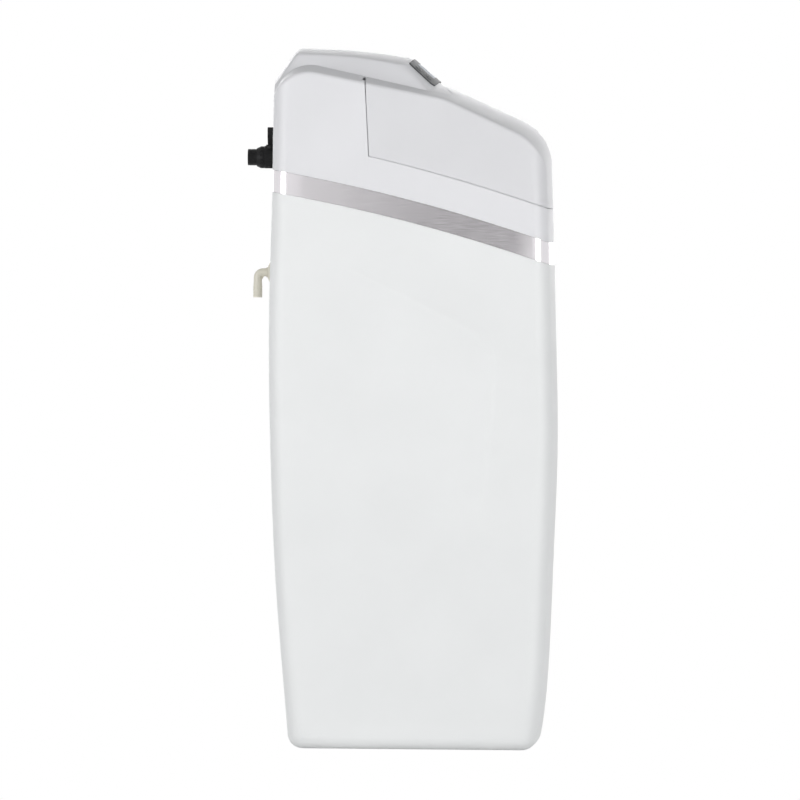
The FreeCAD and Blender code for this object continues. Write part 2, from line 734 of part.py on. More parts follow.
def slope_slab(low, high):
    """Layer of the crowned slope between two heights above it."""
    wires = []
    for x in (-180.0, 0.0, 180.0):
        shift = V(0, HUMP_BOW * (x / COVER_SECTIONS[0][1]) ** 2, -x * x / (2 * HUMP_CROWN_RADIUS))
        corners = [on_slope(x, s, n) + shift for s, n in ((-20, low), (100, low), (100, high), (-20, high))]
        wires.append(Part.makePolygon(corners + [corners[0]]))
    return Part.makeLoft(wires, True, False)


def slope_drop(x):
    """How far the crowned slope lies below its centre line at x."""
    crown = x * x / (2 * HUMP_CROWN_RADIUS) * math.cos(math.radians(HUMP_SLOPE))
    bow = HUMP_BOW * (x / COVER_SECTIONS[0][1]) ** 2 * math.sin(math.radians(HUMP_SLOPE))
    return crown + bow


def make_display():
    skin = slope_slab(0, BEZEL_PROUD).common(slope_prism(0, -30, 8))
    plug = slope_slab(-BEZEL_PLUG, 0.5).common(slope_prism(-2, -30, 8))
    bezel = skin.fuse(plug)
    hole = slope_plate(WINDOW_WIDTH, WINDOW_LENGTH, WINDOW_PLACE, -30, 8, 3)
    window_hole = slope_plate(WINDOW_WIDTH + 0.4, WINDOW_LENGTH + 0.4, WINDOW_PLACE, -30, 8, 3.2)
    window = slope_slab(-BEZEL_PLUG, BEZEL_PROUD - WINDOW_DEPTH).common(hole)
    bezel = bezel.cut(window_hole)
    board_half = KEY_SPREAD + KEY_R + BOARD_EDGE
    board_top = -slope_drop(board_half) - BEZEL_PLUG - SEAT
    low = board_top + SEAT + KEY_TRAVEL
    high = -slope_drop(KEY_SPREAD) + BEZEL_PROUD + 0.5
    keys = []
    for side in (-1, 1):
        for place in KEY_PLACES:
            start = on_slope(side * KEY_SPREAD, place, low)
            way = on_slope(0, 0, high) - on_slope(0, 0, low)
            bezel = bezel.cut(Part.makeCylinder(KEY_R + KEY_CLEAR, 2 * way.Length, start - way * 0.5, way))
            key = Part.makeCylinder(KEY_R, way.Length, start, way)
            rim = max(key.Edges, key=lambda e: e.CenterOfMass.dot(way) if e.Length > KEY_R else -1e9)
            keys.append(key.makeFillet(0.8, [rim]))
    board = slope_plate(2 * board_half, 46, WINDOW_PLACE, board_top - BOARD_THICK, board_top, 2)
    posts = []
    for x in (-52, 52):
        for s in (WINDOW_PLACE - 20, WINDOW_PLACE + 20):
            start = on_slope(x, s, board_top + SEAT)
            way = on_slope(0, 0, 8) - on_slope(0, 0, 0)
            posts.append(Part.makeCylinder(2.5, 14, start, way).common(slope_slab(-30, 1 - BEZEL_PLUG)))
    for post in posts:
        bezel = bezel.fuse(post)
    return bezel, window, keys, board


# Vessel and its contents

def dome(depth, inset, stop_r):
    """Dome from its rim to radius stop_r as (radius, height) points of a knuckle arc and a crown arc."""
    side = VESSEL_R - VESSEL_KNUCKLE
    crown = (side ** 2 + depth ** 2 - VESSEL_KNUCKLE ** 2) / (2 * (depth - VESSEL_KNUCKLE))
    knuckle = VESSEL_KNUCKLE - inset
    low = depth - crown
    meet = math.pi / 2 - math.atan2(side, crown - depth)

    def on_knuckle(a):
        return (side + knuckle * math.cos(a), knuckle * math.sin(a))

    def on_crown(a):
        return ((crown - inset) * math.cos(a), low + (crown - inset) * math.sin(a))

    end = math.acos(stop_r / (crown - inset))
    return [on_knuckle(0), on_knuckle(meet / 2), on_knuckle(meet), on_crown((meet + end) / 2), on_crown(end)]


def vessel_solid(inset, top):
    neck = NECK_R if inset == 0 else NECK_BORE_R
    low_rim = VESSEL_FOOT + VESSEL_LOW_DOME
    high_rim = VESSEL_TOP - NECK_HEIGHT - VESSEL_TOP_DOME
    bottom = [V(r, 0, low_rim - h) for r, h in dome(VESSEL_LOW_DOME, inset, 0)]
    upper = [V(r, 0, high_rim + h) for r, h in dome(VESSEL_TOP_DOME, inset, neck)]
    edges = [Part.Arc(*reversed(bottom[2:])).toShape(), Part.Arc(*reversed(bottom[:3])).toShape(),
             Part.makeLine(bottom[0], upper[0]),
             Part.Arc(*upper[:3]).toShape(), Part.Arc(*upper[2:]).toShape(),
             Part.makeLine(upper[4], V(neck, 0, top)), Part.makeLine(V(neck, 0, top), V(0, 0, top)),
             Part.makeLine(V(0, 0, top), bottom[4])]
    solid = Part.Face(Part.Wire(edges)).revolve(V(0, 0, 0), V(0, 0, 1), 360)
    solid.translate(V(0, VESSEL_Y, 0))
    return solid


def make_vessel():
    vessel = vessel_solid(0, VESSEL_TOP).cut(vessel_solid(VESSEL_WALL, VESSEL_TOP + 1))
    keep("pressure_vessel", vessel)
    inner = vessel_solid(VESSEL_WALL + BED_CLEAR, VESSEL_TOP)
    riser_foot = VESSEL_FOOT + VESSEL_WALL + 46
    centre = (0, VESSEL_Y)
    riser_hole = cylinder(RISER_R + BED_CLEAR, (*centre, 0), (*centre, 900))
    basket_hole = cylinder(30 + BED_CLEAR, (*centre, 0), (*centre, riser_foot + 12 + BED_CLEAR))
    gravel = inner.common(box((-200, -200, 0), (200, 300, GRAVEL_TOP))).cut(riser_hole).cut(basket_hole)
    keep("gravel_bed", gravel)
    resin = inner.common(box((-200, -200, GRAVEL_TOP + 0.2), (200, 300, RESIN_TOP))).cut(riser_hole)
    keep("resin_bed", resin)
    riser_top = VALVE_Z - VALVE_R - 6
    keep("riser_tube", tube(RISER_R, RISER_R - RISER_WALL, (*centre, riser_foot), (*centre, riser_top)))
    basket_low = VESSEL_FOOT + VESSEL_WALL + 2
    basket = turned([(26, basket_low), (30, riser_foot - 6), (30, riser_foot + 8), (RISER_R + FIT, riser_foot + 12),
                     (RISER_R + FIT, riser_foot - 2), (24, riser_foot - 8), (22, basket_low + 2), (0, basket_low + 2),
                     (0, basket_low)], (*centre, 0))
    keep("bottom_strainer", basket)
    top_low = VESSEL_TOP - 62
    strainer = turned([(RISER_R + 0.3, top_low), (27, top_low), (27, VESSEL_TOP - 2), (20, VESSEL_TOP - 2),
                       (20, top_low + 4), (RISER_R + 0.3, top_low + 4)], (*centre, 0))
    keep("top_strainer", strainer)
    seat_r = BOOT_R - BOOT_WALL
    low_r = VESSEL_R
    rise = VESSEL_LOW_DOME * (1 - math.sqrt(1 - (seat_r / low_r) ** 2))
    boot_top = VESSEL_FOOT + rise - SEAT
    boot = turned([(seat_r, TANK_WALL + SEAT), (BOOT_R + 4, TANK_WALL + SEAT), (BOOT_R, boot_top),
                   (seat_r, boot_top)], (*centre, 0))
    keep("vessel_boot", boot)
    seal_z = VESSEL_TOP + 0.3
    keep("vessel_seal", tube(NECK_R - 3, NECK_R - 7, (*centre, seal_z), (*centre, seal_z + 3.6)))
    return seal_z + 3.9


# Control valve

def gear_wheel(teeth, start_angle, centre, y_low, y_high):
    """Spur gear on a front-to-rear axis; one tooth points at start_angle from +X towards +Z."""
    pitch_r = GEAR_MODULE * teeth / 2
    tip_r = pitch_r + 0.9 * GEAR_MODULE
    root_r = pitch_r - 1.2 * GEAR_MODULE
    half = (math.pi * GEAR_MODULE / 2 - GEAR_PLAY) / 2 / pitch_r
    lean = math.tan(math.radians(20))
    tip_half = half - lean * 0.9 * GEAR_MODULE / pitch_r
    root_half = half + lean * 0.9 * GEAR_MODULE / pitch_r
    points = []
    for i in range(teeth):
        a = start_angle + 2 * math.pi * i / teeth
        for radius, turn in ((root_r, -root_half), (tip_r, -tip_half), (tip_r, tip_half), (root_r, root_half)):
            points.append(V(centre[0] + radius * math.cos(a + turn), y_low, centre[1] + radius * math.sin(a + turn)))
    return Part.Face(Part.makePolygon(points + [points[0]])).extrude(V(0, y_high - y_low, 0))


def make_valve(collar_low):
    port_x = PORT_SPACING / 2
    core = cylinder(VALVE_R, (0, VALVE_FRONT, VALVE_Z), (0, VALVE_REAR, VALVE_Z))
    collar = cylinder(VALVE_COLLAR_R, (0, VESSEL_Y, collar_low), (0, VESSEL_Y, collar_low + VALVE_COLLAR))
    neck = cylinder(40, (0, VESSEL_Y, collar_low), (0, VESSEL_Y, VALVE_Z))
    body = core.fuse(collar).fuse(neck)
    for side in (-1, 1):
        x = side * port_x
        body = body.fuse(cylinder(PORT_R, (x, VESSEL_Y - 20, VALVE_Z), (x, PORT_END, VALVE_Z)))
        body = body.fuse(cylinder(PORT_R + 3, (x, PORT_END - 26, VALVE_Z), (x, PORT_END - 22, VALVE_Z)))
    body = body.fuse(box((32, 8, VALVE_Z - 22), (62, 42, VALVE_Z + 12)))
    body = body.fuse(cylinder(11, (DRAIN_X, VESSEL_Y, VALVE_Z), (DRAIN_X, VESSEL_Y, DRAIN_Z - DRAIN_R)))
    for angle in range(0, 360, 45):
        rib = box((30, -2, collar_low + VALVE_COLLAR - 1), (VALVE_COLLAR_R - 2, 2, collar_low + VALVE_COLLAR + 10))
        rib.rotate(V(0, 0, 0), V(0, 0, 1), angle + 22.5)
        rib.translate(V(0, VESSEL_Y, 0))
        body = body.fuse(rib)
    for side in (-1, 1):
        x = side * port_x
        body = body.cut(cylinder(PORT_BORE_R, (x, VESSEL_Y - 6, VALVE_Z), (x, PORT_END + 1, VALVE_Z)))
    body = body.cut(cylinder(STACK_R + 0.1, (0, VALVE_FRONT - 1, VALVE_Z), (0, VALVE_REAR - 6, VALVE_Z)))
    body = body.cut(cylinder(RISER_R + 0.2, (0, VESSEL_Y, collar_low - 1), (0, VESSEL_Y, VALVE_Z - VALVE_R - 5)))
    body = body.cut(cylinder(28, (0, VESSEL_Y, collar_low - 1), (0, VESSEL_Y, collar_low + 10)))
    keep("valve_body", body)

    stack_end = VALVE_REAR - 6.2
    stack = tube(STACK_R, STACK_BORE_R, (0, VALVE_FRONT + 10, VALVE_Z), (0, stack_end, VALVE_Z))
    for i in range(5):
        y = VALVE_FRONT + 24 + 22 * i
        stack = stack.cut(tube(STACK_R + 1, STACK_R - 3, (0, y, VALVE_Z), (0, y + 9, VALVE_Z)))
    keep("seal_stack", stack)

    # gears stand in front of the bracket, which is screwed to the valve's front
    bracket_rear = VALVE_FRONT - SEAT
    bracket_front = bracket_rear - BRACKET_THICK
    gear_rear = bracket_front - GEAR_GAP
    gear_front = gear_rear - GEAR_WIDTH
    middle_front = gear_front - GEAR_GAP - PINION_WIDTH
    hub_front = gear_front - 6
    rod_start = hub_front - 2 - PISTON_STROKE
    cover_front = rod_start - 2 - DRIVE_COVER_WALL

    piston_start = VALVE_FRONT + 38
    piston = cylinder(PISTON_R, (0, piston_start, VALVE_Z), (0, piston_start + PISTON_LENGTH, VALVE_Z))
    for i in range(2):
        y = piston_start + 14 + 24 * i
        piston = piston.cut(tube(PISTON_R + 1, PISTON_R - 3.5, (0, y, VALVE_Z), (0, y + 10, VALVE_Z)))
    keep("piston", piston.fuse(cylinder(ROD_R, (0, rod_start, VALVE_Z), (0, piston_start + 1, VALVE_Z))))
    plug = tube(STACK_R, ROD_R + 0.2, (0, VALVE_FRONT, VALVE_Z), (0, VALVE_FRONT + 9.7, VALVE_Z))
    keep("piston_guide", plug)

    reach = GEAR_MODULE * (DRIVE_TEETH + SMALL_TEETH) / 2
    lean = math.radians(GEAR_LEAN)
    middle = (reach * math.cos(lean), VALVE_Z + reach * math.sin(lean))
    motor_reach = GEAR_MODULE * (MIDDLE_TEETH + SMALL_TEETH) / 2
    motor_lean = math.radians(MOTOR_LEAN)
    motor = (middle[0] + motor_reach * math.cos(motor_lean), middle[1] + motor_reach * math.sin(motor_lean))

    half_w = BRACKET_WIDTH / 2
    plate_low = VALVE_Z - BRACKET_DROP
    plate_high = plate_low + BRACKET_HEIGHT
    wire = rounded_wire([(-half_w, plate_low), (half_w, plate_low), (half_w, plate_high), (-half_w, plate_high)],
                        [6] * 4, lambda p: V(p[0], bracket_front, p[1]))
    bracket = Part.Face(wire).extrude(V(0, BRACKET_THICK, 0))
    shaft_r = 1.5
    bracket = bracket.cut([
        cylinder(ROD_R + 1.5, (0, bracket_front - 1, VALVE_Z), (0, bracket_rear + 1, VALVE_Z)),
        cylinder(shaft_r + 2, (motor[0], bracket_front - 1, motor[1]), (motor[0], bracket_rear + 1, motor[1]))])
    axle = cylinder(AXLE_R, (middle[0], middle_front - 2, middle[1]), (middle[0], bracket_front + 1, middle[1]))
    keep("drive_bracket", bracket.fuse(axle))

    drive = gear_wheel(DRIVE_TEETH, lean, (0, VALVE_Z), gear_front, gear_rear)
    drive = drive.fuse(cylinder(9, (0, hub_front, VALVE_Z), (0, gear_front + 1, VALVE_Z)))
    away = [cylinder(ROD_R + 0.3, (0, hub_front - 1, VALVE_Z), (0, gear_rear + 1, VALVE_Z))]
    for angle in range(0, 360, 60):
        a = math.radians(angle)
        x = 18 * math.cos(a)
        z = VALVE_Z + 18 * math.sin(a)
        away.append(cylinder(5.5, (x, gear_front - 1, z), (x, gear_rear + 1, z)))
    keep("drive_gear", drive.cut(away))

    facing = lean + math.pi + math.pi / SMALL_TEETH
    small = gear_wheel(SMALL_TEETH, facing, middle, gear_front - GEAR_GAP, gear_rear)
    large = gear_wheel(MIDDLE_TEETH, motor_lean, middle, middle_front, gear_front - GEAR_GAP)
    bore = cylinder(AXLE_R + FIT, (middle[0], middle_front - 1, middle[1]), (middle[0], gear_rear + 1, middle[1]))
    keep("reduction_gear", small.fuse(large).cut(bore))

    motor_facing = motor_lean + math.pi + math.pi / SMALL_TEETH
    pinion = gear_wheel(SMALL_TEETH, motor_facing, motor, middle_front, gear_front - GEAR_GAP)
    motor_low = bracket_rear + SEAT
    shaft = cylinder(shaft_r, (motor[0], middle_front, motor[1]), (motor[0], motor_low + 6, motor[1]))
    keep("motor_pinion", pinion.fuse(shaft))
    body = cylinder(MOTOR_R, (motor[0], motor_low, motor[1]), (motor[0], motor_low + MOTOR_LENGTH, motor[1]))
    seat = cylinder(shaft_r + FIT, (motor[0], motor_low - 1, motor[1]), (motor[0], motor_low + 6.3, motor[1]))
    keep("drive_motor", body.cut(seat))

    outer = box((-half_w, cover_front, plate_low), (half_w, bracket_front - SEAT, plate_high))
    outer = outer.makeFillet(5, [e for e in outer.Edges if e.BoundBox.YLength > 5 or e.BoundBox.YMax < cover_front + 1])
    wall = DRIVE_COVER_WALL
    inner = box((-half_w + wall, cover_front + wall, plate_low + wall),
                (half_w - wall, bracket_front, plate_high - wall))
    keep("drive_cover", outer.cut(inner))

    x = port_x
    blade_r = PORT_BORE_R - TURBINE_CLEAR
    turbine = cylinder(3, (x, VESSEL_Y + 10, VALVE_Z), (x, VESSEL_Y + 10 + TURBINE_LENGTH, VALVE_Z))
    for i in range(6):
        blade = box((2, -1, -0.7), (blade_r, TURBINE_LENGTH - 1, 0.7))
        blade.rotate(V(0, 0, 0), V(0, 1, 0), 60 * i)
        blade.translate(V(x, VESSEL_Y + 11, VALVE_Z))
        turbine = turbine.fuse(blade)
    keep("meter_turbine", turbine)

    injector = cylinder(9, (47, 8 - SEAT, VALVE_Z - 5), (47, 8 - SEAT - 9, VALVE_Z - 5))
    injector = injector.fuse(box((34, 8 - SEAT - 3, VALVE_Z - 18), (60, 8 - SEAT, VALVE_Z + 8)))
    keep("injector_cap", injector)

    tip_start = DRAIN_END - DRAIN_TIP
    drain = tube(DRAIN_R, DRAIN_BORE_R, (DRAIN_X, VESSEL_Y - 10, DRAIN_Z), (DRAIN_X, tip_start, DRAIN_Z))
    drain = drain.fuse(tube(DRAIN_TIP_R, DRAIN_BORE_R, (DRAIN_X, tip_start - 1, DRAIN_Z), (DRAIN_X, DRAIN_END, DRAIN_Z)))
    drain = drain.fuse(cylinder(9.5, (DRAIN_X, VESSEL_Y, DRAIN_Z - DRAIN_R + SEAT), (DRAIN_X, VESSEL_Y, DRAIN_Z + 7)))
    drain = drain.cut(cylinder(DRAIN_BORE_R, (DRAIN_X, VESSEL_Y, DRAIN_Z), (DRAIN_X, DRAIN_END + 1, DRAIN_Z)))
    keep("drain_spigot", drain)


# Bypass

def make_bypass():
    start = PORT_END + 2.4
    port_x = PORT_SPACING / 2
    body = box((-port_x, 196, VALVE_Z - 9), (port_x, 224, VALVE_Z + 9))
    seals = []
    nuts = []
    stub_nuts = []
    for side in (-1, 1):
        x = side * port_x
        body = body.fuse(cylinder(BYPASS_TUBE_R, (x, start, VALVE_Z), (x, BYPASS_END, VALVE_Z)))
        body = body.fuse(cylinder(BYPASS_TUBE_R + 2.4, (x, start, VALVE_Z), (x, start + 4, VALVE_Z)))
        body = body.fuse(cylinder(ROTOR_HOUSING_R, (x, ROTOR_Y, ROTOR_FOOT), (x, ROTOR_Y, ROTOR_SHOULDER)))
    body = body.fuse(cylinder(7, (0, DIAL_Y, VALVE_Z), (0, DIAL_Y, DIAL_LOW - 8)))
    for side in (-1, 1):
        x = side * port_x
        body = body.cut(cylinder(BYPASS_BORE_R, (x, start - 1, VALVE_Z), (x, BYPASS_END + 1, VALVE_Z)))
        body = body.cut(cylinder(ROTOR_R + FIT, (x, ROTOR_Y, ROTOR_FOOT + 2.5), (x, ROTOR_Y, ROTOR_SHOULDER + 1)))
    body = body.cut(cylinder(3.5 + FIT, (0, DIAL_Y, VALVE_Z + 4), (0, DIAL_Y, DIAL_LOW)))
    keep("bypass_body", body)

    for side, name in ((-1, "inlet"), (1, "outlet")):
        x = side * port_x
        rotor = cylinder(ROTOR_R, (x, ROTOR_Y, ROTOR_FOOT + 2.8), (x, ROTOR_Y, ROTOR_SHOULDER + 2))
        rotor = rotor.cut(cylinder(ROTOR_R - 2, (x, ROTOR_Y - 20, VALVE_Z), (x, ROTOR_Y + 20, VALVE_Z)))
        half_t = HANDLE_THICK / 2
        half_w = HANDLE_WIDTH / 2
        blade_low = ROTOR_SHOULDER + SEAT
        wire = rounded_wire([(-half_w * 0.45, blade_low), (half_w * 0.45, blade_low), (half_w, blade_low + 14),
                             (half_w, HANDLE_TOP), (-half_w, HANDLE_TOP), (-half_w, blade_low + 14)],
                            [1, 1, 6, 5, 5, 6], lambda p: V(x + p[0], ROTOR_Y - half_t, p[1]))
        blade = Part.Face(wire).extrude(V(0, HANDLE_THICK, 0))
        slot = box((x - 1.6, ROTOR_Y - half_t - 1, HANDLE_TOP - 13), (x + 1.6, ROTOR_Y + half_t + 1, HANDLE_TOP - 5))
        keep(name + "_rotor", rotor.fuse(blade).cut(slot))

        seals.append(tube(PORT_R - 0.3, PORT_BORE_R + 0.4, (x, PORT_END + 0.3, VALVE_Z), (x, start - 0.3, VALVE_Z)))
        nut_low = PORT_END - 21.7
        nut = cylinder(COUPLING_R, (x, nut_low, VALVE_Z), (x, start + 4 + 6, VALVE_Z))
        nut = nut.cut(cylinder(PORT_R + 0.15, (x, nut_low - 1, VALVE_Z), (x, PORT_END + 1, VALVE_Z)))
        nut = nut.cut(cylinder(BYPASS_TUBE_R + 2.7, (x, PORT_END - 8, VALVE_Z), (x, start + 4 + SEAT, VALVE_Z)))
        nut = nut.cut(cylinder(BYPASS_TUBE_R + 0.3, (x, start, VALVE_Z), (x, start + 12, VALVE_Z)))
        nuts.append(ribbed(nut, (x, VALVE_Z), COUPLING_R, nut_low - 1, start + 12, 12))

        flange_low = BYPASS_END + 0.8
        stub = tube(STUB_R - STUB_SHANK, STUB_BORE_R, (x, flange_low, VALVE_Z), (x, STUB_END, VALVE_Z))
        stub = stub.fuse([
            tube(NUT_R - 3.2, STUB_BORE_R, (x, flange_low, VALVE_Z), (x, flange_low + 3, VALVE_Z)),
            tube(STUB_R, STUB_BORE_R, (x, STUB_END - STUB_GRIP, VALVE_Z), (x, STUB_END, VALVE_Z))])
        keep(name + "_stub", stub)
        nut_end = STUB_END - STUB_GRIP - 0.4
        cap = turned([(STUB_R + 0.3, nut_end), (STUB_R + 1.5, nut_end), (NUT_R, nut_end - 6.5),
                      (NUT_R, BYPASS_END + SEAT), (STUB_R + 0.3, BYPASS_END + SEAT)],
                     (x, 0, VALVE_Z), (0, 1, 0))
        cap = cap.cut(cylinder(NUT_R - 2.9, (x, BYPASS_END, VALVE_Z), (x, flange_low + 3 + SEAT, VALVE_Z)))
        stub_nuts.append(ribbed(cap, (x, VALVE_Z), NUT_R, BYPASS_END - 1, nut_end - 6.5, 16))
    keep("coupling_seals", Part.makeCompound(seals))
    keep("coupling_nuts", Part.makeCompound(nuts))
    keep("stub_nuts", Part.makeCompound(stub_nuts))

    dial = cylinder(DIAL_R, (0, DIAL_Y, DIAL_LOW), (0, DIAL_Y, DIAL_LOW + DIAL_HEIGHT))
    dial = dial.fuse(cylinder(3.5, (0, DIAL_Y, VALVE_Z + 4.5), (0, DIAL_Y, DIAL_LOW + 1)))
    dial = ribbed(dial, (0, DIAL_Y), DIAL_R, DIAL_LOW + 3, DIAL_LOW + DIAL_HEIGHT + 1, 12, upright=True)
    keep("blend_dial", dial)


def ribbed(shape, centre, radius, low, high, count, upright=False):
    """Cut grip grooves along a round outside that lies front to rear, or stands upright."""
    groove_r = math.pi * radius / count / 2.2
    for i in range(count):
        a = 2 * math.pi * (i + 0.5) / count
        u = centre[0] + (radius + groove_r * 0.45) * math.cos(a)
        v = centre[1] + (radius + groove_r * 0.45) * math.sin(a)
        if upright:
            shape = shape.cut(cylinder(groove_r, (u, v, low), (u, v, high)))
        else:
            shape = shape.cut(cylinder(groove_r, (u, low, v), (u, high, v)))
    return shape


# Brine side

def bent_tube(points, radius, bend, bore=None):
    """Tube along straight runs joined by arcs of one bend radius."""
    if bore:
        return bent_tube(points, radius, bend).cut(bent_tube(lengthened(points), bore, bend))

    def section(centre, way):
        return Part.Face(Part.Wire([Part.makeCircle(radius, centre, way)]))

    pieces = []
    last = V(*points[0])
    for i in range(1, len(points) - 1):
        p = V(*points[i])
        a = (V(*points[i - 1]) - p).normalize()
        b = (V(*points[i + 1]) - p).normalize()
        half = a.getAngle(b) / 2
        back = bend / math.tan(half)
        start = p + a * back
        pieces.append(section(last, a * -1).extrude(start - last))
        centre = p + (a + b).normalize() * (bend / math.sin(half))
        turn = math.degrees(math.pi - 2 * half)
        pieces.append(section(start, a * -1).revolve(centre, a.cross(b) * -1, turn))
        last = p + b * back
    pieces.append(section(last, b).extrude(V(*points[-1]) - last))
    return pieces[0].fuse(pieces[1:])


def make_brine_side():
    well_axis = (WELL_X, WELL_Y)
    floor = TANK_WALL + SEAT
    tube_x = WELL_X - 14
    hole_z = WELL_TOP - 27
    well = tube(WELL_R, WELL_R - WELL_WALL, (*well_axis, floor), (*well_axis, WELL_TOP))
    for i in range(4):
        slot = box((-WELL_R - 2, -2, floor + 8), (WELL_R + 2, 2, floor + 38))
        slot.rotate(V(0, 0, 0), V(0, 0, 1), 45 * i + 20)
        slot.translate(V(WELL_X, WELL_Y, 0))
        well = well.cut(slot)
    well = well.cut(cylinder(BRINE_TUBE_R + 1, (tube_x, WELL_Y, hole_z), (tube_x, WELL_Y + WELL_R + 5, hole_z)))
    keep("brine_well", well)
    cap = turned([(0, WELL_TOP + SEAT), (WELL_R + 0.4, WELL_TOP + SEAT), (WELL_R + 0.4, WELL_TOP - 9),
                  (WELL_R + 2.4, WELL_TOP - 9), (WELL_R + 2.4, WELL_TOP + 3), (0, WELL_TOP + 3)], (*well_axis, 0))
    cap = cap.fuse(cylinder(8, (*well_axis, WELL_TOP + 2), (*well_axis, WELL_TOP + WELL_CAP)))
    keep("well_cap", cap)

    pipe_top = WELL_TOP - 72
    check = cylinder(11, (tube_x, WELL_Y, floor + 4), (tube_x, WELL_Y, floor + 60))
    check = check.fuse(cylinder(7, (tube_x, WELL_Y, floor), (tube_x, WELL_Y, floor + 5)))
    keep("air_check", check)
    valve = cylinder(13, (tube_x, WELL_Y, pipe_top - 60), (tube_x, WELL_Y, pipe_top))
    valve = valve.fuse(tube(4, 2.6, (tube_x, WELL_Y, floor + 60.2), (tube_x, WELL_Y, pipe_top - 59)))
    rod_x = WELL_X + 14
    arm = box((tube_x, WELL_Y - 4, pipe_top - 40), (rod_x + 5, WELL_Y + 4, pipe_top - 28))
    arm = arm.cut(cylinder(2.6, (rod_x, WELL_Y, pipe_top - 41), (rod_x, WELL_Y, pipe_top - 27)))
    guide = box((tube_x, WELL_Y - 4, FLOAT_REST - 60), (rod_x + 5, WELL_Y + 4, FLOAT_REST - 54))
    guide = guide.cut(cylinder(2.6, (rod_x, WELL_Y, FLOAT_REST - 61), (rod_x, WELL_Y, FLOAT_REST - 53)))
    guide = guide.cut(cylinder(2.6, (tube_x, WELL_Y, FLOAT_REST - 61), (tube_x, WELL_Y, FLOAT_REST - 53)))
    keep("float_valve", valve.fuse(arm).fuse(guide))
    rod = cylinder(2, (rod_x, WELL_Y, FLOAT_REST - 80), (rod_x, WELL_Y, pipe_top - 10))
    body = cylinder(FLOAT_R, (rod_x, WELL_Y, FLOAT_REST), (rod_x, WELL_Y, FLOAT_REST + FLOAT_HEIGHT))
    body = body.makeFillet(4, [e for e in body.Edges if e.Length > 60])
    stop = cylinder(4, (rod_x, WELL_Y, pipe_top - 27.7), (rod_x, WELL_Y, pipe_top - 22))
    keep("safety_float", rod.fuse(body).fuse(stop))

    rise_y = -58.0
    over_z = 905.0
    route = [(tube_x, WELL_Y, pipe_top + 0.3), (tube_x, WELL_Y, hole_z), (tube_x, rise_y, hole_z),
             (tube_x, rise_y, over_z), (52, 25, over_z), (52, 25, VALVE_Z - 22.3)]
    keep("brine_pipe", bent_tube(route, BRINE_TUBE_R, 14.0, BRINE_BORE_R))

    outline = tank_inner(TANK_WALL + 1.2, GRID_TOP - GRID_THICK, GRID_TOP)
    grid = outline.common(box((-200, -300, 0), (200, 60, 200)))
    grid = grid.cut(cylinder(VESSEL_R + 1.5, (0, VESSEL_Y, 0), (0, VESSEL_Y, 200)))
    grid = grid.cut(cylinder(WELL_R + 1, (*well_axis, 0), (*well_axis, 200)))
    slots = [box((x, y, 0), (x + 6, y + 26, 200)) for x in range(-110, 31, 20) for y in (-170, -130, -95)]
    grid = grid.cut(slots)
    for x, y in ((-110, -160), (-20, -160), (-110, -80), (110, -75)):
        grid = grid.fuse(cylinder(8, (x, y, floor), (x, y, GRID_TOP - GRID_THICK + 1)))
    keep("salt_grid", grid)


# Overflow

def make_overflow(wall_out, wall_in):
    x = OVERFLOW_X
    z = OVERFLOW_Z
    seal_end = wall_out + 1.6
    gasket = tube(FLANGE_R - 1, FLANGE_TAIL_R + 0.2, (x, wall_out + 0.3, z), (x, seal_end, z))
    keep("overflow_gasket", gasket)
    flange = turned([(OVERFLOW_R + FIT, wall_in - 14), (FLANGE_TAIL_R, wall_in - 14), (FLANGE_TAIL_R, seal_end + 0.1),
                     (FLANGE_R, seal_end + 0.1), (FLANGE_R, seal_end + 1.6), (OVERFLOW_R + 3, seal_end + 5.4),
                     (OVERFLOW_R + FIT, seal_end + 5.4)], (x, 0, z), (0, 1, 0))
    keep("overflow_flange", flange)
    points = []
    for i in range(6):
        a = math.radians(60 * i)
        points.append(V(x + 18 * math.cos(a), wall_in - 10, z + 18 * math.sin(a)))
    nut = Part.Face(Part.makePolygon(points + [points[0]])).extrude(V(0, 9.7, 0))
    nut = nut.cut(cylinder(FLANGE_TAIL_R + 0.1, (x, wall_in - 20, z), (x, wall_in + 5, z)))
    keep("overflow_nut", nut)
    bend = 9.0
    route = [(x, wall_in - 16, z), (x, OVERFLOW_LEG_Y, z), (x, OVERFLOW_LEG_Y, OVERFLOW_LEG_END)]
    solid = bent_tube(route, OVERFLOW_R, bend)
    grip_top = OVERFLOW_LEG_END + OVERFLOW_GRIP
    leg = cylinder(OVERFLOW_LEG_R, (x, OVERFLOW_LEG_Y, OVERFLOW_LEG_END), (x, OVERFLOW_LEG_Y, grip_top))
    web = side_prism([(OVERFLOW_LEG_Y - 13, z - 3), (OVERFLOW_LEG_Y - 3, z - 3), (OVERFLOW_LEG_Y - 3, grip_top)],
                     [0, 0, 0], x - 1.5, x + 1.5)
    collar = tube(OVERFLOW_R + 1.6, OVERFLOW_R - 1, (x, seal_end + 5.7, z), (x, seal_end + 7.5, z))
    end_ring = tube(OVERFLOW_R + 1.6, OVERFLOW_R - 1, (x, wall_in - 16, z), (x, wall_in - 14.3, z))
    solid = solid.fuse(leg).fuse(web).fuse(collar).fuse(end_ring)
    keep("overflow_elbow", solid.cut(bent_tube(lengthened(route), OVERFLOW_BORE_R, bend)))


def lengthened(route):
    """The same route with both ends one millimetre further out."""
    a = V(*route[0])
    b = V(*route[1])
    c = V(*route[-2])
    d = V(*route[-1])
    first = a + (a - b).normalize()
    last = d + (d - c).normalize()
    return [tuple(first)] + list(route[1:-1]) + [tuple(last)]


def wall_span(shape, x, z):
    """Where a line front to rear at x and z leaves the rear wall of a shell: outside and inside."""
    line = Part.makeLine(V(x, 120, z), V(x, 320, z))
    ends = [v.Y for v in line.common(shape).Vertexes]
    return max(ends), min(e for e in ends if e > max(ends) - 12)


